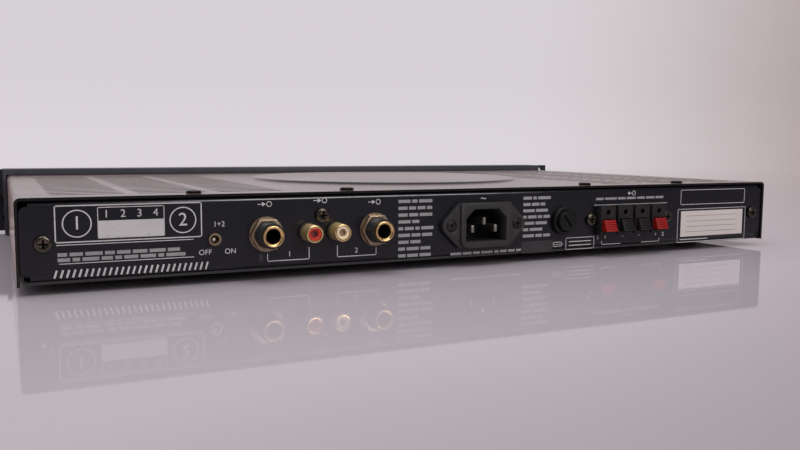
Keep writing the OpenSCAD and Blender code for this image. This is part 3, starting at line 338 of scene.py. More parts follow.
# varnished tape wound round the ring: one stripe a turn of tape
def woundTape(name, look):
    f = Finish(name)
    offset = f.add("ShaderNodeVectorMath", {"operation": "SUBTRACT"}, {0: f.place, 1: look["middle"]})
    angle = f.add("ShaderNodeMath", {"operation": "ARCTAN2"},
                  {0: f.part(offset, yAxis), 1: f.part(offset, xAxis)})
    turn = f.add("ShaderNodeMath", {"operation": "SINE"}, {0: angle * look["turns"]})
    edge = f.spread(turn, *look["seamEdge"])
    tone = f.mottled(f.noise(look["cloud"], detail=3.0), look["tone"], look["dark"])
    return f.shade({"Base Color": f.blend(edge * look["seamShare"], tone, look["seam"]),
                    "Roughness": look["rough"] + edge * look["seamRough"],
                    "Normal": f.bump(turn, look["relief"])})


# lamp lenses along one row: the last ones amber and red
def lampLens(name, look):
    f = Finish(name)
    along = f.spread(f.along(xAxis), *look["row"])
    tint = f.add("ShaderNodeValToRGB", {"stops": look["tints"]}, {"Fac": along})
    core = f.noise(look["core"], detail=1.0)
    return f.shade({"Base Color": f.blend(f.spread(core, *look["coreEdge"]), tint, look["coreTone"]),
                    "Roughness": look["rough"] + core * look["coreRough"],
                    "Coat Weight": core * look["coreCoat"] + look["coat"]})


def clearGlass(name, look):
    f = Finish(name)
    smear = f.noise(look["smear"], detail=3.0)
    return f.shade({"Base Color": f.blend(smear, look["tone"], look["clear"]), "Transmission Weight": 1.0,
                    "IOR": look["bends"], "Roughness": look["rough"] + smear * look["smearRough"]})


# a painted highlight, with bare metal where the paint is worn, along the rear panel's upper fold, and a
# chalky scuff by the first jack
foldHighlightAndWear = {"at": (0.060, caseLow + 0.0332), "reach": (0.105, 0.0003), "fade": 0.45, "grain": 0.012,
            "breaks": (0.1, 0.5), "strength": 1.0, "tone": (0.27, 0.255, 0.26)}
scuff = {"at": (0.1134, caseLow + 0.0068), "reach": (0.0013, 0.0026), "fade": 0.7, "grain": 0.0009,
         "breaks": (0.4, 0.6), "strength": 0.7, "tone": (0.12, 0.118, 0.125)}
shellLow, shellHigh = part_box("rca_shells")
lampLow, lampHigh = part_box("level_lamps")

looks = {
    # the cover's rear lip and sides, which don't face up, get a painted shade through edge
    "coverBlack": (powderCoat, {"tone": (0.0145, 0.0125, 0.0118), "rough": 0.19, "peel": 0.0011,
        "relief": 0.000012, "dust": 1.1, "gloss": 0.42, "film": 0.215,
        "edge": (0.010, 0.0078, 0.0074)}),
    "panelBlack": (powderCoat, {"tone": (0.0021, 0.0020, 0.0058), "rough": 0.28, "peel": 0.0009,
        "relief": 0.00003, "dust": 0.4, "gloss": 0.58, "worn": [foldHighlightAndWear, scuff]}),
    "trayBlack": (powderCoat, {"tone": (0.030, 0.027, 0.031), "rough": 0.5, "peel": 0.0013,
        "relief": 0.00005, "dust": 0.8}),
    "plateBlack": (powderCoat, {"tone": (0.010, 0.0105, 0.012), "rough": 0.5, "peel": 0.0007,
        "relief": 0.00004, "dust": 0.3}),
    "bezelBlack": (moulded, {"tone": (0.036, 0.035, 0.046), "rough": 0.5, "grain": 0.0006}),
    "jackBlack": (moulded, {"tone": (0.012, 0.0115, 0.012), "rough": 0.35}),
    # painted shade inside the inlet's socket, deep below the panel face
    "inletBlack": (moulded, {"tone": (0.022, 0.0195, 0.021), "rough": 0.5, "grain": 0.0005, "gloss": 0.42,
        "deep": (panelFace - 0.004, panelFace + 0.0035)}),
    "fuseBlack": (moulded, {"tone": (0.0042, 0.0040, 0.0042), "rough": 0.4, "gloss": 0.27}),
    "blockBlack": (moulded, {"tone": (0.0095, 0.0082, 0.0080), "rough": 0.45, "gloss": 0.36}),
    "leverBlack": (moulded, {"tone": (0.0068, 0.0055, 0.0058), "rough": 0.42, "gloss": 0.26}),
    "leverRed": (moulded, {"tone": (0.222, 0.005, 0.0035), "rough": 0.45, "lift": 1.2, "gloss": 0.22}),
    "phonoRed": (moulded, {"tone": (0.52, 0.036, 0.022), "rough": 0.3, "lift": 1.2}),
    "phonoIvory": (moulded, {"tone": (0.79, 0.67, 0.47), "rough": 0.32, "lift": 1.1}),
    "knobBlack": (moulded, {"tone": (0.012, 0.012, 0.013), "rough": 0.45, "grain": 0.0003}),
    "switchBlack": (moulded, {"tone": (0.010, 0.010, 0.011), "rough": 0.3}),
    "partBlack": (moulded, {"tone": (0.015, 0.015, 0.016), "rough": 0.5}),
    "relayBlue": (moulded, {"tone": (0.03, 0.08, 0.19), "rough": 0.3}),
    "footRubber": (moulded, {"tone": (0.012, 0.012, 0.012), "rough": 0.75, "grain": 0.0008,
        "relief": 0.00008, "gloss": 0.3}),
    "padRubber": (moulded, {"tone": (0.02, 0.02, 0.02), "rough": 0.8, "grain": 0.001, "gloss": 0.3}),
    "gold": (metal, {"tone": (0.95, 0.66, 0.31), "dull": (0.75, 0.5, 0.22), "rough": 0.22}),
    "goldShell": (goldBarrel, {"tone": (0.98, 0.73, 0.36), "dull": (0.82, 0.56, 0.25), "smear": 0.003,
        "tool": 0.00025, "grooves": (0.15, 1, 0.15), "relief": 0.00001, "metal": 0.86,
        "lip": (shellHigh.y - 0.0012, shellHigh.y - 0.0005), "rough": 0.42,
        "polish": 0.24, "smearRough": 0.12}),
    "nutBronze": (metal, {"tone": (0.46, 0.35, 0.245), "dull": (0.28, 0.21, 0.145), "rough": 0.38,
        "scratch": 0.2}),
    # painted shade in the screws' cross recesses and down the heads' rounded rims
    "screwZinc": (metal, {"tone": (0.15, 0.128, 0.10), "dull": (0.045, 0.038, 0.03), "rough": 0.2,
        "deep": (panelFace + 0.0009, panelFace + 0.0018)}),
    "screwBlack": (metal, {"tone": (0.022, 0.020, 0.020), "dull": (0.012, 0.0115, 0.0115), "rough": 0.45}),
    "screwMatt": (metal, {"tone": (0.055, 0.051, 0.052), "dull": (0.03, 0.028, 0.028), "rough": 0.55}),
    "steel": (metal, {"tone": (0.62, 0.62, 0.63), "dull": (0.45, 0.44, 0.43), "rough": 0.3}),
    "nickel": (metal, {"tone": (0.60, 0.56, 0.50), "dull": (0.42, 0.38, 0.33), "rough": 0.24}),
    "contactTin": (metal, {"tone": (0.66, 0.58, 0.40), "dull": (0.5, 0.42, 0.28), "rough": 0.35}),
    # painted shade: darker copies of the insert colours, for the cups in the holes
    "cupRed": (moulded, {"tone": (0.20, 0.025, 0.018), "rough": 0.5}),
    "cupIvory": (moulded, {"tone": (0.30, 0.20, 0.11), "rough": 0.5}),
    "pinSilver": (metal, {"tone": (0.36, 0.34, 0.30), "dull": (0.2, 0.19, 0.17), "rough": 0.42}),
    "sinkMetal": (metal, {"tone": (0.55, 0.56, 0.57), "dull": (0.42, 0.42, 0.43), "rough": 0.42,
        "hair": (1, 0.05, 1), "scratch": 0.25}),
    "canSleeve": (moulded, {"tone": (0.015, 0.02, 0.045), "rough": 0.28, "grain": 0.003}),
    "potMetal": (metal, {"tone": (0.5, 0.5, 0.51), "dull": (0.36, 0.35, 0.34), "rough": 0.4}),
    "boardGreen": (circuitBoard, {"pitch": 0.0025, "mask": (0.012, 0.075, 0.028),
        "trace": (0.02, 0.13, 0.05), "pad": (0.6, 0.55, 0.42), "traceWide": 0.12, "traceHigh": 0.5,
        "padEdge": (0.2, 0.16), "padMetal": 0.8, "padPolish": 0.15, "rough": 0.45,
        "relief": 0.00004}),
    "windingTape": (woundTape, {"middle": middleOf("toroid_transformer"), "turns": 90, "cloud": 0.01,
        "tone": (0.42, 0.24, 0.07), "dark": (0.30, 0.16, 0.04),
        "seam": (0.16, 0.08, 0.02), "seamEdge": (0.55, 0.95), "seamShare": 0.6,
        "seamRough": 0.2, "rough": 0.32, "relief": 0.0001}),
    "glass": (clearGlass, {"tone": (0.86, 0.92, 0.92), "clear": (0.95, 0.97, 0.96), "smear": 0.003,
        "bends": 1.47, "rough": 0.02, "smearRough": 0.05}),
    "lens": (lampLens, {"row": (lampLow.x, lampHigh.x), "core": 0.0009, "coreEdge": (0.35, 0.7, 0, 0.35),
        "coreTone": (0.9, 0.92, 0.9), "rough": 0.14, "coreRough": 0.08, "coat": 0.3,
        "coreCoat": 0.2, "tints": [(0.0, (0.05, 0.35, 0.07)), (0.62, (0.55, 0.33, 0.03)),
        (0.85, (0.5, 0.03, 0.02))]}),
    "fineInk": (inked, {"tone": (0.29, 0.28, 0.285), "under": (0.02, 0.02, 0.02), "wear": 0.75}),
    "ink": (inked, {"tone": (0.56, 0.53, 0.535), "under": (0.02, 0.02, 0.02), "wear": 0.7}),
    "label": (paperLabel, {"tone": (0.60, 0.535, 0.51), "fibre": (0.485, 0.44, 0.42), "strand": 0.0008,
        "strandEdge": (0.55, 0.75, 0, 0.2), "cloud": 0.015, "fade": 0.93, "rough": 0.5,
        "strandRough": 0.2, "relief": 0.00001}),
    "tapeGrey": (moulded, {"tone": (0.030, 0.026, 0.029), "rough": 0.6, "grain": 0.001, "gloss": 0.3}),
    "labelInk": (inked, {"tone": (0.30, 0.28, 0.28), "under": (0.6, 0.58, 0.56), "wear": 0.4}),
}
finishes = {name: make(name, look) for name, (make, look) in looks.items()}
print("finishes made:", len(finishes))

nodeFinish = {
    "coverBlack": ["top_cover"],
    "panelBlack": ["rear_panel"],
    "trayBlack": ["bottom_tray", "front_wall"],
    "plateBlack": ["front_plate"],
    "bezelBlack": ["front_bezel"],
    "footRubber": ["rubber_feet"],
    "screwBlack": ["cover_screws", "bezel_screws", "front_plate_screws"],
    "screwMatt": ["inlet_screws"],
    "screwZinc": ["panel_screws"],
    "steel": ["foot_screws", "transformer_washer", "transformer_bolt", "board_standoffs", "pot_nuts",
              "pot_shaft_left", "pot_shaft_right", "fuse_ends"],
    "jackBlack": ["phone_jacks", "rca_block"],
    "gold": ["jack_sleeves"],
    "goldShell": ["rca_shells"],
    "nutBronze": ["jack_nuts", "jack_washers", "bridge_switch", "bridge_switch_nut"],
    "phonoRed": ["rca_insert_red"],
    "phonoIvory": ["rca_insert_white"],
    "nickel": ["bridge_lever"],
    "inletBlack": ["mains_inlet"],
    "pinSilver": ["inlet_pins"],
    "fuseBlack": ["fuse_holder", "fuse_holder_nut", "fuse_cap"],
    "glass": ["fuse_tube"],
    "blockBlack": ["terminal_block"],
    "leverRed": ["lever_right_plus", "lever_left_plus"],
    "leverBlack": ["lever_right_ground", "lever_left_ground"],
    "contactTin": ["terminal_contacts"],
    "boardGreen": ["main_board", "input_board", "front_board"],
    "windingTape": ["toroid_transformer"],
    "padRubber": ["transformer_pads"],
    "sinkMetal": ["heatsink_right", "heatsink_left"],
    "partBlack": ["power_transistors", "bridge_rectifier"],
    "canSleeve": ["filter_capacitors"],
    "relayBlue": ["output_relay"],
    "potMetal": ["level_pots"],
    "knobBlack": ["level_knob_left", "level_knob_right"],
    "switchBlack": ["power_switch", "power_rocker"],
    "lens": ["level_lamps"],
}
finishOf = {name: finish for finish, names in nodeFinish.items() for name in names}
for name, finish in finishOf.items():
    nodes[name].data.materials.clear()
    nodes[name].data.materials.append(finishes[finish])
print("nodes finished:", len(finishOf))


def newPiece(name, mesh, finish, body="chassis", smooth=None):
    piece = bpy.data.objects.new(name, mesh)
    bpy.context.scene.collection.objects.link(piece)
    mesh.materials.clear()
    mesh.materials.append(finishes[finish])
    if smooth:
        mesh.shade_smooth()
        mesh.set_sharp_from_angle(angle=math.radians(smooth))
    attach(piece, body)
    return piece


def meshFrom(name, work):
    mesh = bpy.data.meshes.new(name)
    work.to_mesh(mesh)
    work.free()
    return mesh


# a turned piece: the outline is a closed loop of (radius, height), spun round the place
lathe = {"steps": 56, "merge": 0.001 * mm, "smooth": 50, "lipSteps": 5}


def turned(name, outline, place, direction, finish):
    work = bmesh.new()
    spin = Vector((0, 0, 1)).rotation_difference(Vector(direction)).to_matrix()
    rings = []
    for i in range(lathe["steps"]):
        angle = 2 * math.pi * i / lathe["steps"]
        spots = [Vector((r * math.cos(angle), r * math.sin(angle), h)) for r, h in outline]
        rings.append([work.verts.new(Vector(place) + spin @ spot) for spot in spots])
    for here, there in zip(rings, rings[1:] + rings[:1]):
        for j in range(len(outline)):
            k = (j + 1) % len(outline)
            work.faces.new((here[j], there[j], there[k], here[k]))
    bmesh.ops.remove_doubles(work, verts=work.verts, dist=lathe["merge"])
    bmesh.ops.recalc_face_normals(work, faces=work.faces)
    return newPiece(name, meshFrom(name, work), finish, smooth=lathe["smooth"])


# quarter round of a rolled lip, from the side to the mouth
def rolledLip(size):
    outer, roll = size["outer"], size["roll"]
    angles = [math.radians(90 * i / lathe["lipSteps"]) for i in range(lathe["lipSteps"] + 1)]
    return [(outer - roll + roll * math.cos(a), -roll + roll * math.sin(a)) for a in angles]


# Phone jack sleeves, with a dark lining behind the lip; the first two jacks are on the rear
sleeve = {"outer": 4.85 * mm, "bore": 3.2 * mm, "roll": 0.4 * mm, "funnel": 0.9 * mm, "length": 33.0 * mm,
          "lining": 0.5 * mm, "rim": 1.3 * mm, "dip": 0.05 * mm}
jackMouths = [("input_jack_right", rearward), ("input_jack_left", rearward), ("headphone_jack", forward)]


def sleeveOutline(s):
    relief = s["bore"] + s["lining"]
    return ([(relief, -s["length"]), (s["outer"], -s["length"])] + rolledLip(s)
            + [(s["bore"] + s["funnel"], -s["dip"]), (s["bore"], -s["funnel"]), (s["bore"], -s["rim"]),
               (relief, -s["rim"])])


def liningOutline(s):
    relief = s["bore"] + s["lining"]
    return [(s["bore"], -s["length"]), (relief, -s["length"]), (relief, -s["rim"]), (s["bore"], -s["rim"])]


for mouth, direction in jackMouths:
    jack = mouth.replace("_jack", "")
    turned("sleeve_" + jack, sleeveOutline(sleeve), mounts[mouth], direction, "gold")
    turned("lining_" + jack, liningOutline(sleeve), mounts[mouth], direction, "jackBlack")
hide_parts("jack_sleeves")

# Phono shells with rolled lips, their inserts, and in the middle of each a cup of painted shade, a darker
# copy of the insert's colour
phono = {"outer": 4.15 * mm, "wall": 0.95 * mm, "roll": 0.5 * mm, "lipDrop": 0.1 * mm, "barrel": 8.4 * mm,
         "root": 3.675 * mm, "pin": 1.7 * mm, "cone": 0.5 * mm, "coneDeep": 0.6 * mm, "sink": 0.5 * mm,
         "chamfer": 0.2 * mm, "play": 0.01 * mm, "cup": 0.35 * mm, "start": 0.9 * mm, "floor": 2.2 * mm}
shellLength = shellHigh.y - shellLow.y


def shellOutline(p):
    inner = p["outer"] - p["wall"]
    return ([(inner, -shellLength), (p["root"], -shellLength), (p["root"], -p["barrel"]),
             (p["outer"], -p["barrel"])] + rolledLip(p) + [(inner, -p["lipDrop"])])


def insertOutline(p):
    inner = p["outer"] - p["wall"]
    face = -p["sink"]
    return [(p["pin"], -shellLength), (inner, -shellLength), (inner, face - p["chamfer"]),
            (inner - p["chamfer"], face), (p["pin"] + p["cone"], face), (p["pin"], face - p["coneDeep"])]


def cupOutline(p):
    outer, inner = p["pin"] - p["play"], p["pin"] - p["cup"]
    return [(0, -shellLength), (outer, -shellLength), (outer, -p["start"]), (inner, -p["start"]),
            (inner, -p["floor"]), (0, -p["floor"])]


for side, tint in (("red", "Red"), ("white", "Ivory")):
    mouth = (mounts["phono_" + side].x, shellHigh.y, middleOf("rca_shells").z)
    turned("phono_shell_" + side, shellOutline(phono), mouth, rearward, "goldShell")
    insert = turned("phono_insert_" + side, insertOutline(phono), mouth, rearward, "phono" + tint)
    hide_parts("rca_insert_" + side)
    # a cup of painted shade in the hole, in a darker copy of the insert's colour
    turned("phono_cup_" + side, cupOutline(phono), mouth, rearward, "cup" + tint)
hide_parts("rca_shells")
print("turned pieces made")

# CAD nodes shown as copies with their sharp edges rounded off: angles in degrees, widths in millimetres
easing = {"merge": 0.002 * mm, "flat": 0.5, "sharp": 35, "segments": 2, "profile": 0.5,
          "shortest": 0.001 * mm, "smooth": 40}
edgeWidths = {"terminal_block": 0.35, "lever_right_plus": 0.3, "lever_right_ground": 0.3,
              "lever_left_ground": 0.3, "lever_left_plus": 0.3, "mains_inlet": 0.35, "inlet_pins": 0.5,
              "panel_screws": 0.15, "cover_screws": 0.12, "inlet_screws": 0.12, "jack_nuts": 0.35,
              "front_bezel": 0.6, "front_plate": 0.4, "fuse_holder": 0.35, "fuse_cap": 0.25,
              "power_switch": 0.4, "power_rocker": 0.4}


def softened(nodeName, width):
    work = bmesh.new()
    work.from_mesh(nodes[nodeName].data)
    bmesh.ops.remove_doubles(work, verts=work.verts, dist=easing["merge"])
    flat, least = math.radians(easing["flat"]), math.radians(easing["sharp"])
    bmesh.ops.dissolve_limit(work, angle_limit=flat, verts=work.verts, edges=work.edges)
    sharp = [e for e in work.edges if len(e.link_faces) == 2 and e.calc_face_angle(0) > least]
    bmesh.ops.bevel(work, geom=sharp, offset=width, segments=easing["segments"], profile=easing["profile"],
                    affect="EDGES", clamp_overlap=True)
    bmesh.ops.dissolve_degenerate(work, dist=easing["shortest"], edges=work.edges)
    bmesh.ops.recalc_face_normals(work, faces=work.faces)
    name = nodeName + "_soft"
    piece = newPiece(name, meshFrom(name, work), finishOf[nodeName], bodyOf[nodeName], easing["smooth"])
    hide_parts(nodeName)


for nodeName, width in edgeWidths.items():
    softened(nodeName, width * mm)
print("edges softened")


def socketKind(value):
    if isinstance(value, int):
        return "NodeSocketInt"
    return "NodeSocketVector" if hasattr(value, "__len__") else "NodeSocketFloat"


# Geometry Nodes: a tree with named inputs, run once and turned into a plain mesh
def runNodes(name, build, inputs, finish):
    group = bpy.data.node_groups.new(name, "GeometryNodeTree")
    tree = Tree(group)
    for key, value in inputs.items():
        group.interface.new_socket(key, in_out="INPUT", socket_type=socketKind(value))
    group.interface.new_socket("Geometry", in_out="OUTPUT", socket_type="NodeSocketGeometry")
    entry = group.nodes.new("NodeGroupInput")
    made = build(tree, {key: Link(tree, entry.outputs[key]) for key in inputs})
    real = tree.add("GeometryNodeRealizeInstances", sockets={"Geometry": made})
    dressed = tree.add("GeometryNodeSetMaterial", sockets={"Geometry": real, "Material": finishes[finish]})
    end = group.nodes.new("NodeGroupOutput")
    group.links.new(dressed.socket, end.inputs[0])
    holder = bpy.data.objects.new(name, bpy.data.meshes.new(name))
    bpy.context.scene.collection.objects.link(holder)
    modifier = holder.modifiers.new(name, "NODES")
    modifier.node_group = group
    ids = {item.name: item.identifier for item in group.interface.items_tree if item.in_out == "INPUT"}
    for key, value in inputs.items():
        modifier[ids[key]] = value
    shaped = holder.evaluated_get(bpy.context.evaluated_depsgraph_get())
    mesh = bpy.data.meshes.new_from_object(shaped)
    bpy.data.objects.remove(holder)
    bpy.data.node_groups.remove(group)
    mesh.name = name
    newPiece(name, mesh, finish, smooth=easing["smooth"])


# thread: round ridges along a bushing
thread = {"radius": 5.62 * mm, "height": 0.24 * mm, "ridges": 9, "from": 8.6 * mm, "to": 2.7 * mm,
          "facets": 40, "beadFacets": 6}


def threadRidges(tree, size):
    line = tree.add("GeometryNodeCurvePrimitiveLine", sockets={"Start": size["Start"], "End": size["End"]})
    points = tree.add("GeometryNodeCurveToPoints", {"mode": "COUNT"},
                      {"Curve": line, "Count": size["Ridges"]})
    ring = tree.add("GeometryNodeCurvePrimitiveCircle", sockets={"Resolution": size["Facets"],
                                                                 "Radius": size["Radius"]})
    bead = tree.add("GeometryNodeCurvePrimitiveCircle", sockets={"Resolution": size["Bead Facets"],
                                                                 "Radius": size["Height"]})
    ridge = tree.add("GeometryNodeCurveToMesh", sockets={"Curve": ring, "Profile Curve": bead})
    return tree.add("GeometryNodeInstanceOnPoints", sockets={"Points": points, "Instance": ridge,
                                                             "Rotation": points.sibling("Rotation")})


for mouth, direction in jackMouths[:2]:
    tip, outward = mounts[mouth], Vector(direction)
    runNodes("thread_" + mouth, threadRidges,
             {"Start": tip - outward * thread["from"], "End": tip - outward * thread["to"],
              "Ridges": thread["ridges"], "Radius": thread["radius"], "Height": thread["height"],
              "Facets": thread["facets"], "Bead Facets": thread["beadFacets"]}, "jackBlack")


# dial: ticks on an arc round a knob, and figures outside them; angles in degrees
dial = {"radius": 12.2 * mm, "ticks": 31, "tick": (1.3 * mm, 0.04 * mm, 0.28 * mm), "stand": 0.02 * mm,
        "start": -60, "sweep": 300, "figures": 11, "first": -150, "step": 30, "figureRadius": 14.6 * mm,
        "figureHeight": 2.0}
knobs = {"left": "level_knob_left", "right": "level_knob_right"}


def dialTicks(tree, size):
    arc = tree.add("GeometryNodeCurveArc", {"mode": "RADIUS"},
                   {"Resolution": size["Ticks"], "Radius": size["Radius"], "Start Angle": size["Start"],
                    "Sweep Angle": size["Sweep"]})
    points = tree.add("GeometryNodeCurveToPoints", {"mode": "COUNT"},
                      {"Curve": arc, "Count": size["Ticks"]})
    tick = tree.add("GeometryNodeMeshCube", sockets={"Size": size["Tick"]})
    ring = tree.add("GeometryNodeInstanceOnPoints", sockets={"Points": points, "Instance": tick,
                                                             "Rotation": points.sibling("Rotation")})
    upright = tree.add("GeometryNodeTransform", sockets={"Geometry": ring,
                                                         "Rotation": (math.radians(90), 0, 0)})
    return tree.add("GeometryNodeTransform", sockets={"Geometry": upright, "Translation": size["Middle"]})


for side, knob in knobs.items():
    middle = middleOf(knob)
    runNodes("dial_" + side, dialTicks,
             {"Middle": Vector((middle.x, plateFace - dial["stand"], middle.z)), "Radius": dial["radius"],
              "Ticks": dial["ticks"], "Tick": dial["tick"], "Start": math.radians(dial["start"]),
              "Sweep": math.radians(dial["sweep"])}, "ink")


# rows of plain bars in place of wording: each has its own length, and a row stops at the column's width
def barRows(tree, size):
    points = tree.add("GeometryNodePoints", sockets={"Count": size["Bars"]})
    index = tree.add("GeometryNodeInputIndex")
    row = tree.add("ShaderNodeMath", {"operation": "FLOOR"}, {0: index / size["Each"]})
    length = tree.add("FunctionNodeRandomValue", {"data_type": "FLOAT"},
                      {2: size["Short"], 3: size["Long"], "Seed": size["Seed"]}, out=1)
    start = tree.add("GeometryNodeAccumulateField", {"data_type": "FLOAT"},
                     {"Value": length + size["Gap"], "Group ID": row}, out="Trailing")
    across = tree.add("ShaderNodeCombineXYZ", sockets={"X": 0 - start - length * 0.5, "Y": 0.0,
                                                       "Z": 0 - row * size["Pitch"]})
    place = tree.add("ShaderNodeVectorMath", {"operation": "ADD"}, {0: across, 1: size["Corner"]})
    laid = tree.add("GeometryNodeSetPosition", sockets={"Geometry": points, "Position": place})
    fits = tree.add("ShaderNodeMath", {"operation": "LESS_THAN"}, {0: start + length, 1: size["Width"]})
    bar = tree.add("GeometryNodeMeshCube", sockets={"Size": size["Bar"]})
    grow = tree.add("ShaderNodeCombineXYZ", sockets={"X": length, "Y": 1.0, "Z": 1.0})
    return tree.add("GeometryNodeInstanceOnPoints",
                    sockets={"Points": laid, "Selection": fits, "Instance": bar, "Scale": grow})


# a band of slanted strokes in place of a name
def slantBand(tree, size):
    line = tree.add("GeometryNodeMeshLine", {"mode": "OFFSET", "count_mode": "TOTAL"},
                    {"Count": size["Strokes"], "Start Location": size["Start"], "Offset": size["Step"]})
    bar = tree.add("GeometryNodeMeshCube", sockets={"Size": size["Bar"]})
    slant = tree.add("GeometryNodeTransform", sockets={"Geometry": bar, "Rotation": size["Slant"]})
    return tree.add("GeometryNodeInstanceOnPoints", sockets={"Points": line, "Instance": slant})


# ink lies on the rear panel: x and z in millimetres, z from the case's lower edge
inkDepth = 0.04 * mm


def onPanel(x, z):
    return Vector((x * mm, panelFace + inkDepth / 2, caseLow + z * mm))


bars = {"each": 10, "gap": 0.9, "short": 2.2, "long": 8.5}
columns = {
    "bars_input": {"at": (43.4, 30.4), "width": 20.0, "rows": 9, "pitch": 3.4, "tall": 1.6, "seed": 4},
    "bars_inlet": {"at": (-31.2, 30.2), "width": 19.4, "rows": 7, "pitch": 3.4, "tall": 1.6, "seed": 9},
    "bars_legend": {"at": (199.4, 12.4), "width": 55.0, "rows": 2, "pitch": 2.2, "tall": 1.5, "seed": 2},
    "bars_output": {"at": (-80.6, 28.6), "width": 53.0, "rows": 1, "pitch": 2.0, "tall": 1.3, "seed": 5},
    "bars_rating": {"at": (13.4, 2.5), "width": 45.0, "rows": 1, "pitch": 2.0, "tall": 1.3, "seed": 6},
}
for name, column in columns.items():
    runNodes(name, barRows,
             {"Corner": onPanel(*column["at"]), "Width": column["width"] * mm,
              "Each": bars["each"], "Bars": bars["each"] * column["rows"], "Pitch": column["pitch"] * mm,
              "Gap": bars["gap"] * mm, "Short": bars["short"] * mm, "Long": bars["long"] * mm,
              "Bar": (1.0, inkDepth, column["tall"] * mm), "Seed": column["seed"]}, "fineInk")

band = {"from": 200.4, "to": 138.4, "z": 4.4, "wide": 0.8, "tall": 3.4, "strokes": 27, "slant": 18}
runNodes("slanted_band", slantBand,
         {"Start": onPanel(band["from"], band["z"]),
          "Step": Vector(((band["to"] - band["from"]) / (band["strokes"] - 1) * mm, 0, 0)),
          "Strokes": band["strokes"], "Bar": (band["wide"] * mm, inkDepth, band["tall"] * mm),
          "Slant": (0, math.radians(-band["slant"]), 0)}, "ink")
print("repeats made")


def strip(work, low, high):
    made = bmesh.ops.create_cube(work, size=1.0)
    middle, size = (low + high) / 2, high - low
    for vert in made["verts"]:
        vert.co = middle + Vector((vert.co.x * size.x, vert.co.y * size.y, vert.co.z * size.z))


# the plain sign for a way in or out: an arrow at a ring, as shares of its size, and its line's weight
arrowShape = {"ringAt": 0.9, "ring": 0.55, "near": 0.25, "far": 1.1, "head": 0.75, "headHalf": 0.42,
              "tail": 1.3, "weight": 0.34}
drawing = {"capital": 0.69, "ringSteps": 40}  # a capital's share of the text size, sides of a ring


# Screen print on one face, drawn as thin strips and plain marks
class Print:
    def __init__(self, place, facing):
        self.work = bmesh.new()
        self.place = place
        self.facing = facing

    def line(self, start, end, weight):
        a, b = self.place(*start), self.place(*end)
        grow = Vector((weight / 2 * mm, inkDepth / 2, weight / 2 * mm))
        low = Vector((min(a.x, b.x), a.y, min(a.z, b.z))) - grow
        high = Vector((max(a.x, b.x), a.y, max(a.z, b.z))) + grow
        strip(self.work, low, high)

    def fill(self, low, high):
        self.line(low, high, 0.0)

    def path(self, points, weight):
        for start, end in zip(points, points[1:]):
            self.line(start, end, weight)

    def frame(self, low, high, weight):
        self.path([low, (high[0], low[1]), high, (low[0], high[1]), low], weight)

    def ring(self, middle, radius, weight):
        centre = self.place(*middle)
        steps = drawing["ringSteps"]
        angles = [2 * math.pi * i / steps for i in range(steps)]
        half, inner, outer = inkDepth / 2, (radius - weight) * mm, radius * mm
        loops = []
        for depth, r in ((-half, inner), (-half, outer), (half, outer), (half, inner)):
            spots = [Vector((r * math.cos(a), depth, r * math.sin(a))) for a in angles]
            loops.append([self.work.verts.new(centre + spot) for spot in spots])
        for here, there in zip(loops, loops[1:] + loops[:1]):
            for i in range(steps):
                k = (i + 1) % steps
                self.work.faces.new((here[i], here[k], there[k], there[i]))

    # a flat shape with straight sides
    def shape(self, points):
        flat = [self.place(*point) for point in points]
        half = Vector((0, inkDepth / 2, 0))
        lower = [self.work.verts.new(p - half) for p in flat]
        upper = [self.work.verts.new(p + half) for p in flat]
        self.work.faces.new(lower)
        self.work.faces.new(list(reversed(upper)))
        for i in range(len(flat)):
            k = (i + 1) % len(flat)
            self.work.faces.new((lower[k], lower[i], upper[i], upper[k]))

    def arrow(self, middle, size, inward):
        x, z = middle
        part = {key: share * size for key, share in arrowShape.items() if key != "weight"}
        weight = arrowShape["weight"]
        self.ring((x - part["ringAt"], z), part["ring"], weight)
        tip = x - part["near"] if inward else x + part["far"]
        neck = tip + part["head"] if inward else tip - part["head"]
        end = x + part["tail"] if inward else x - part["near"]
        self.shape([(tip, z), (neck, z + part["headHalf"]), (neck, z - part["headHalf"])])
        self.line((neck, z), (end, z), weight)

    # plain letters or figures
    def mark(self, text, middle, height):
        curve = bpy.data.curves.new("mark", "FONT")
        curve.body = text
        curve.align_x = "CENTER"
        curve.align_y = "CENTER"
        curve.size = height * mm / drawing["capital"]
        curve.extrude = inkDepth / 2
        holder = bpy.data.objects.new("mark", curve)
        bpy.context.scene.collection.objects.link(holder)
        shaped = holder.evaluated_get(bpy.context.evaluated_depsgraph_get())
        mesh = bpy.data.meshes.new_from_object(shaped)
        bpy.data.objects.remove(holder)
        bpy.data.curves.remove(curve)
        turn = Matrix.Rotation(math.radians(90), 4, "X")
        if self.facing == "rear":
            turn = Matrix.Rotation(math.radians(180), 4, "Z") @ turn
        mesh.transform(Matrix.Translation(self.place(*middle)) @ turn)
        self.work.from_mesh(mesh)
        bpy.data.meshes.remove(mesh)

    def disc(self, figure, middle):
        self.ring(middle, disc["radius"], firm)
        self.mark(figure, middle, disc["figure"])

    def piece(self, name, finish):
        newPiece(name, meshFrom(name, self.work), finish)


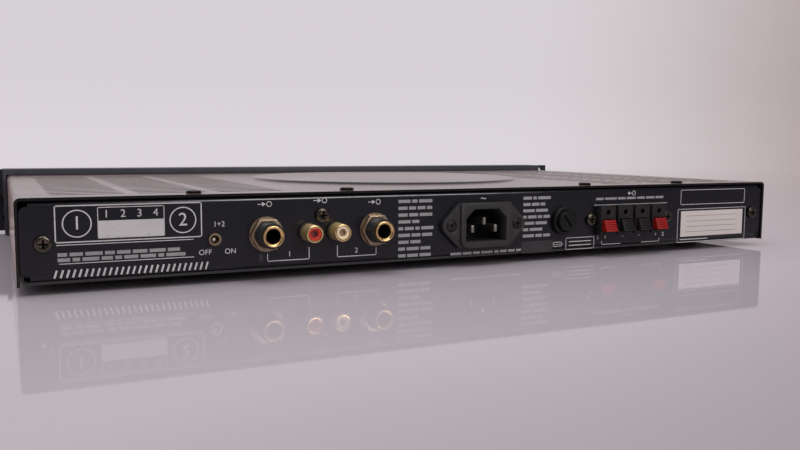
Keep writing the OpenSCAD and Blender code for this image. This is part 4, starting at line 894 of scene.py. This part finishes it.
# Rear print, in millimetres: for each method of Print, what each of its calls is given
thin, firm = 0.32, 0.5
jackLine, pairLine, fuseLine, ratingLine, blockHighlightWeight = 0.42, 0.36, 0.25, 0.45, 0.26
disc = {"radius": 5.8, "figure": 5.6}
arrowSize = 2.4
panelPrint = {
    "frame": [
        ((200.0, 17.5), (140.4, 32.6), firm),  # field at the left end
        ((183.4, 18.7), (156.4, 31.6), thin),  # numbered strip in it
        ((-51.6, 3.2), (-57.2, 5.4), thin),  # fuse sign
        ((-60.2, 1.0), (-79.8, 7.4), thin),  # place of the fuse's rating
        ((-145.0, 23.6), (-198.6, 32.3), thin),  # name place: a bare outline
        ((-143.1, 0.9), (-199.9, 20.8), thin),  # round the blank label
    ],
    "fill": [((183.2, 18.9), (156.6, 26.0))],  # lower part of the numbered strip
    "line": [
        ((199.6, 16.4), (144.2, 16.4), thin),  # below the field
        ((198.8, 8.6), (144.0, 8.6), thin),
        ((-50.4, 4.3), (-58.4, 4.3), fuseLine),  # through the fuse sign
        ((-62.5, 5.3), (-77.5, 5.3), ratingLine),  # in place of the fuse's rating
        ((-62.5, 3.2), (-77.5, 3.2), ratingLine),
        # painted highlight: a light line along the top edge of the terminal block, drawn in ink
        ((-79.4, 25.15), (-134.0, 25.15), blockHighlightWeight),  # over the terminals
        ((-145.5, 2.5), (-168.0, 2.5), firm),  # below the blank label
    ],
    "path": [
        ([(110.4, 8.0), (110.4, 4.6), (90.2, 4.6), (90.2, 10.0)], jackLine),  # jack to phono
        ([(75.9, 10.0), (75.9, 4.7), (55.5, 4.7), (55.5, 8.0)], jackLine),
        ([(-85.4, 4.4), (-85.4, 2.6), (-99.0, 2.6)], pairLine),  # each pair of terminals
        ([(-115.0, 2.6), (-128.6, 2.6), (-128.6, 4.4)], pairLine),
    ],
    "disc": [("1", (191.6, 25.1)), ("2", (148.4, 25.1))],
    "mark": [
        ("1", (180.0, 28.7), 3.2), ("2", (173.3, 28.7), 3.2),  # numbered strip
        ("3", (166.6, 28.7), 3.2), ("4", (159.9, 28.7), 3.2),
        ("OFF", (138.9, 10.2), 2.3), ("ON", (127.6, 10.2), 2.3),  # bridge switch
        ("1+2", (132.6, 22.6), 2.3),
        ("1", (99.8, 7.3), 2.4), ("2", (66.0, 7.3), 2.4),  # inputs
        ("~", (-6.0, 31.0), 4.2),  # alternating current, over the inlet
        ("1", (-82.6, 6.6), 2.4), ("+", (-88.0, 6.6), 2.6), ("−", (-100.6, 6.6), 2.6),  # terminals
        ("−", (-113.2, 6.6), 2.6), ("+", (-125.8, 6.6), 2.6), ("2", (-131.4, 6.6), 2.4),
    ],
    "arrow": [
        ((111.6, 31.0), arrowSize, True), ((56.6, 30.6), arrowSize, True),  # into the jacks
        ((84.6, 32.0), arrowSize, True), ((-106.0, 31.4), arrowSize, False),  # phono pair, terminals
    ],
}
rear = Print(onPanel, "rear")
for method, calls in panelPrint.items():
    for given in calls:
        getattr(rear, method)(*given)
rear.piece("panel_print", "ink")

# strip of dull tape below the bars beside the inlet
tape = {"low": (-30.4, 0.4), "high": (-51.2, 6.8)}
tapeStrip = Print(onPanel, "rear")
tapeStrip.fill(tape["low"], tape["high"])
tapeStrip.piece("tape_strip", "tapeGrey")

# blank label with plain ruled lines
label = {"low": (-145.6, 4.2), "high": (-197.6, 19.6), "rules": 4, "from": -150.0, "to": -193.0,
         "top": 16.6, "pitch": 3.2, "weight": 0.35}
labelCard = Print(onPanel, "rear")
labelCard.fill(label["low"], label["high"])
labelCard.piece("blank_label", "label")


def onLabel(x, z):
    return onPanel(x, z) + Vector((0, inkDepth, 0))


labelLines = Print(onLabel, "rear")
for i in range(label["rules"]):
    z = label["top"] - i * label["pitch"]
    labelLines.line((label["from"], z), (label["to"], z), label["weight"])
labelLines.piece("label_lines", "labelInk")


# Front print: figures round the dials, lamp scale, switch positions; x and z in metres
def onPlate(x, z):
    return Vector((x, plateFace - inkDepth / 2, z))


lampScale = {"levels": ("20", "10", "6", "3", "0"), "inset": 1.5 * mm, "height": 2.2}
switchMarks = {"away": 2.6 * mm, "height": 2.0}
front = Print(onPlate, "front")
for knob in knobs.values():
    middle = middleOf(knob)
    for i in range(dial["figures"]):
        angle = math.radians(dial["first"] + dial["step"] * i)
        spot = (middle.x + dial["figureRadius"] * math.sin(angle),
                middle.z + dial["figureRadius"] * math.cos(angle))
        front.mark(str(i), spot, dial["figureHeight"])
lampStep = (lampHigh.x - lampLow.x - 2 * lampScale["inset"]) / (len(lampScale["levels"]) - 1)
for i, level in enumerate(lampScale["levels"]):
    spot = (lampLow.x + lampScale["inset"] + i * lampStep, middleOf("level_lamps").z)
    front.mark(level, spot, lampScale["height"])
switchLow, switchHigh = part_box("power_switch")
switchMiddle = middleOf("power_switch").x
front.mark("ON", (switchMiddle, switchHigh.z + switchMarks["away"]), switchMarks["height"])
front.mark("OFF", (switchMiddle, switchLow.z - switchMarks["away"]), switchMarks["height"])
front.piece("plate_print", "ink")

# pointer on each knob's face, from the middle outwards
pointer = {"half": 0.42 * mm, "from": 2.9 * mm, "to": 8.6 * mm, "front": 0.25 * mm, "back": 0.62 * mm}
for side, knob in knobs.items():
    face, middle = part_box(knob)[0].y, middleOf(knob)
    work = bmesh.new()
    strip(work, Vector((middle.x - pointer["half"], face + pointer["front"], middle.z + pointer["from"])),
          Vector((middle.x + pointer["half"], face + pointer["back"], middle.z + pointer["to"])))
    newPiece("pointer_" + side, meshFrom("pointer_" + side, work), "ink", bodyOf[knob])
print("print made")

shot = {"at": (0.21954, 0.49121, 0.06280), "turn": (84.2616, -0.3543, 153.605), "lens": 36.273,
        "sensor": 36, "nearest": 0.01}
studio = {"floor": (0.462, 0.418, 0.457), "shade": (0.312, 0.28, 0.307), "lean": 0.27, "dim": (0.25, 0.40),
          "radius": 8, "sides": 96, "shine": 0.035, "bends": 1.17, "near": 0.55, "far": 1.9,
          "backdrop": (0.68, 0.64, 0.67), "corner": (0.38, 0.30, 0.297), "turn": (-0.55, -0.83),
          "bend": 1.9, "glow": 1.05, "rise": 0.07, "room": (0.10, 0.095, 0.10), "roomFloor": (0.45, 0.9),
          "roomWall": (-0.25, 0.6), "light": 0.66, "lightTint": (1.0, 0.965, 0.985)}


# floor, which fades into the backdrop far away; both darken to the right of the shot
def studioFloor():
    bpy.ops.mesh.primitive_circle_add(vertices=studio["sides"], radius=studio["radius"], fill_type="NGON")
    floor = bpy.context.object
    floor.name = "floor"
    ground = Finish("studioFloor")
    across, along = ground.along(xAxis), ground.along(yAxis)
    distance = ground.add("ShaderNodeVectorMath", {"operation": "LENGTH"}, {0: ground.place}, out="Value")
    fade = ground.spread(distance, studio["near"], studio["far"])
    sight = ground.add("ShaderNodeVectorMath", {"operation": "SUBTRACT"}, {0: ground.place, 1: shot["at"]})
    heading = ground.add("ShaderNodeVectorMath", {"operation": "NORMALIZE"}, {0: sight})
    right = ground.spread(ground.part(heading, xAxis), *studio["turn"]) ** studio["bend"]
    mirrored = ground.add("ShaderNodeLightPath", out="Is Glossy Ray")
    behind = ground.spread(along, *studio["roomFloor"]) * mirrored
    wall = ground.blend(right, studio["backdrop"], studio["corner"])
    sweep = ground.add("ShaderNodeEmission", sockets={"Color": ground.blend(behind, wall, studio["room"]),
                                                      "Strength": studio["glow"]})
    dim = ground.spread(along - across * studio["lean"], *studio["dim"])
    ground.shade({"Base Color": ground.blend(dim, studio["floor"], studio["shade"]),
                  "Roughness": studio["shine"], "IOR": studio["bends"]})
    surface = Link(ground, ground.shader.outputs[0])
    mixed = ground.add("ShaderNodeMixShader", sockets={0: fade, 1: surface, 2: sweep})
    ground.nodeTree.links.new(mixed.socket, ground.output.inputs[0])
    floor.data.materials.append(ground.material)
    return floor


# world: the backdrop for the camera and shiny surfaces, which mirror a dim room behind the camera;
# plain light for the rest
def studioWorld():
    world = bpy.data.worlds.new("studio")
    bpy.context.scene.world = world
    world.use_nodes = True
    world.node_tree.nodes.clear()
    sky = Tree(world.node_tree)
    direct = sky.add("ShaderNodeLightPath", out="Is Camera Ray")
    mirrored = direct.sibling("Is Glossy Ray")
    seen = direct + mirrored + direct.sibling("Is Transmission Ray")
    heading = sky.add("ShaderNodeTexCoord", out="Generated")
    right = sky.spread(sky.part(heading, xAxis), *studio["turn"]) ** studio["bend"]
    behind = sky.spread(sky.part(heading, yAxis), *studio["roomWall"]) * mirrored
    glow = sky.spread(sky.part(heading, zAxis), 0.0, studio["rise"], studio["glow"], 1.0)
    wall = sky.blend(right, studio["backdrop"], studio["corner"])
    room = sky.blend(behind, wall, studio["room"])
    shown = sky.add("ShaderNodeBackground", sockets={"Color": room, "Strength": glow})
    light = sky.add("ShaderNodeBackground", sockets={"Color": studio["lightTint"],
                                                     "Strength": studio["light"]})
    both = sky.add("ShaderNodeMixShader", sockets={0: seen, 1: light, 2: shown})
    end = world.node_tree.nodes.new("ShaderNodeOutputWorld")
    world.node_tree.links.new(both.socket, end.inputs[0])


floor = studioFloor()
studioWorld()

# the side softbox would mirror as a white blade in the floor and the cover, so it leaves them unlit
lamps = {
    "topSoftbox": {"at": (0.1, 0.25, 1.3), "aim": (0, 0, 0), "size": (1.3, 0.9), "watts": 9, "unlit": []},
    "sideSoftbox": {"at": (-0.25, 1.0, 0.5), "aim": (0.05, 0.13, 0.02), "size": (0.5, 0.3), "watts": 3.0,
                    "unlit": [floor, nodes["top_cover"]]},
}
for name, lamp in lamps.items():
    data = bpy.data.lights.new(name, "AREA")
    data.shape = "RECTANGLE"
    data.size, data.size_y = lamp["size"]
    data.energy = lamp["watts"]
    holder = bpy.data.objects.new(name, data)
    bpy.context.scene.collection.objects.link(holder)
    holder.location = lamp["at"]
    holder.rotation_euler = (Vector(lamp["aim"]) - Vector(lamp["at"])).to_track_quat("-Z", "Y").to_euler()
    if lamp["unlit"]:
        unlit = bpy.data.collections.new(name + "Unlit")
        for i, item in enumerate(lamp["unlit"]):
            unlit.objects.link(item)
            unlit.collection_objects[i].light_linking.link_state = "EXCLUDE"
        holder.light_linking.receiver_collection = unlit

# Camera behind the amplifier, low, near its right end
cameraData = bpy.data.cameras.new("camera")
cameraData.lens = shot["lens"]
cameraData.sensor_width = shot["sensor"]
cameraData.clip_start = shot["nearest"]
cameraObject = bpy.data.objects.new("camera", cameraData)
bpy.context.scene.collection.objects.link(cameraObject)
cameraObject.location = shot["at"]
cameraObject.rotation_euler = Euler([math.radians(a) for a in shot["turn"]])
bpy.context.scene.camera = cameraObject
bpy.context.scene.view_settings.view_transform = "Standard"
print("stage set")
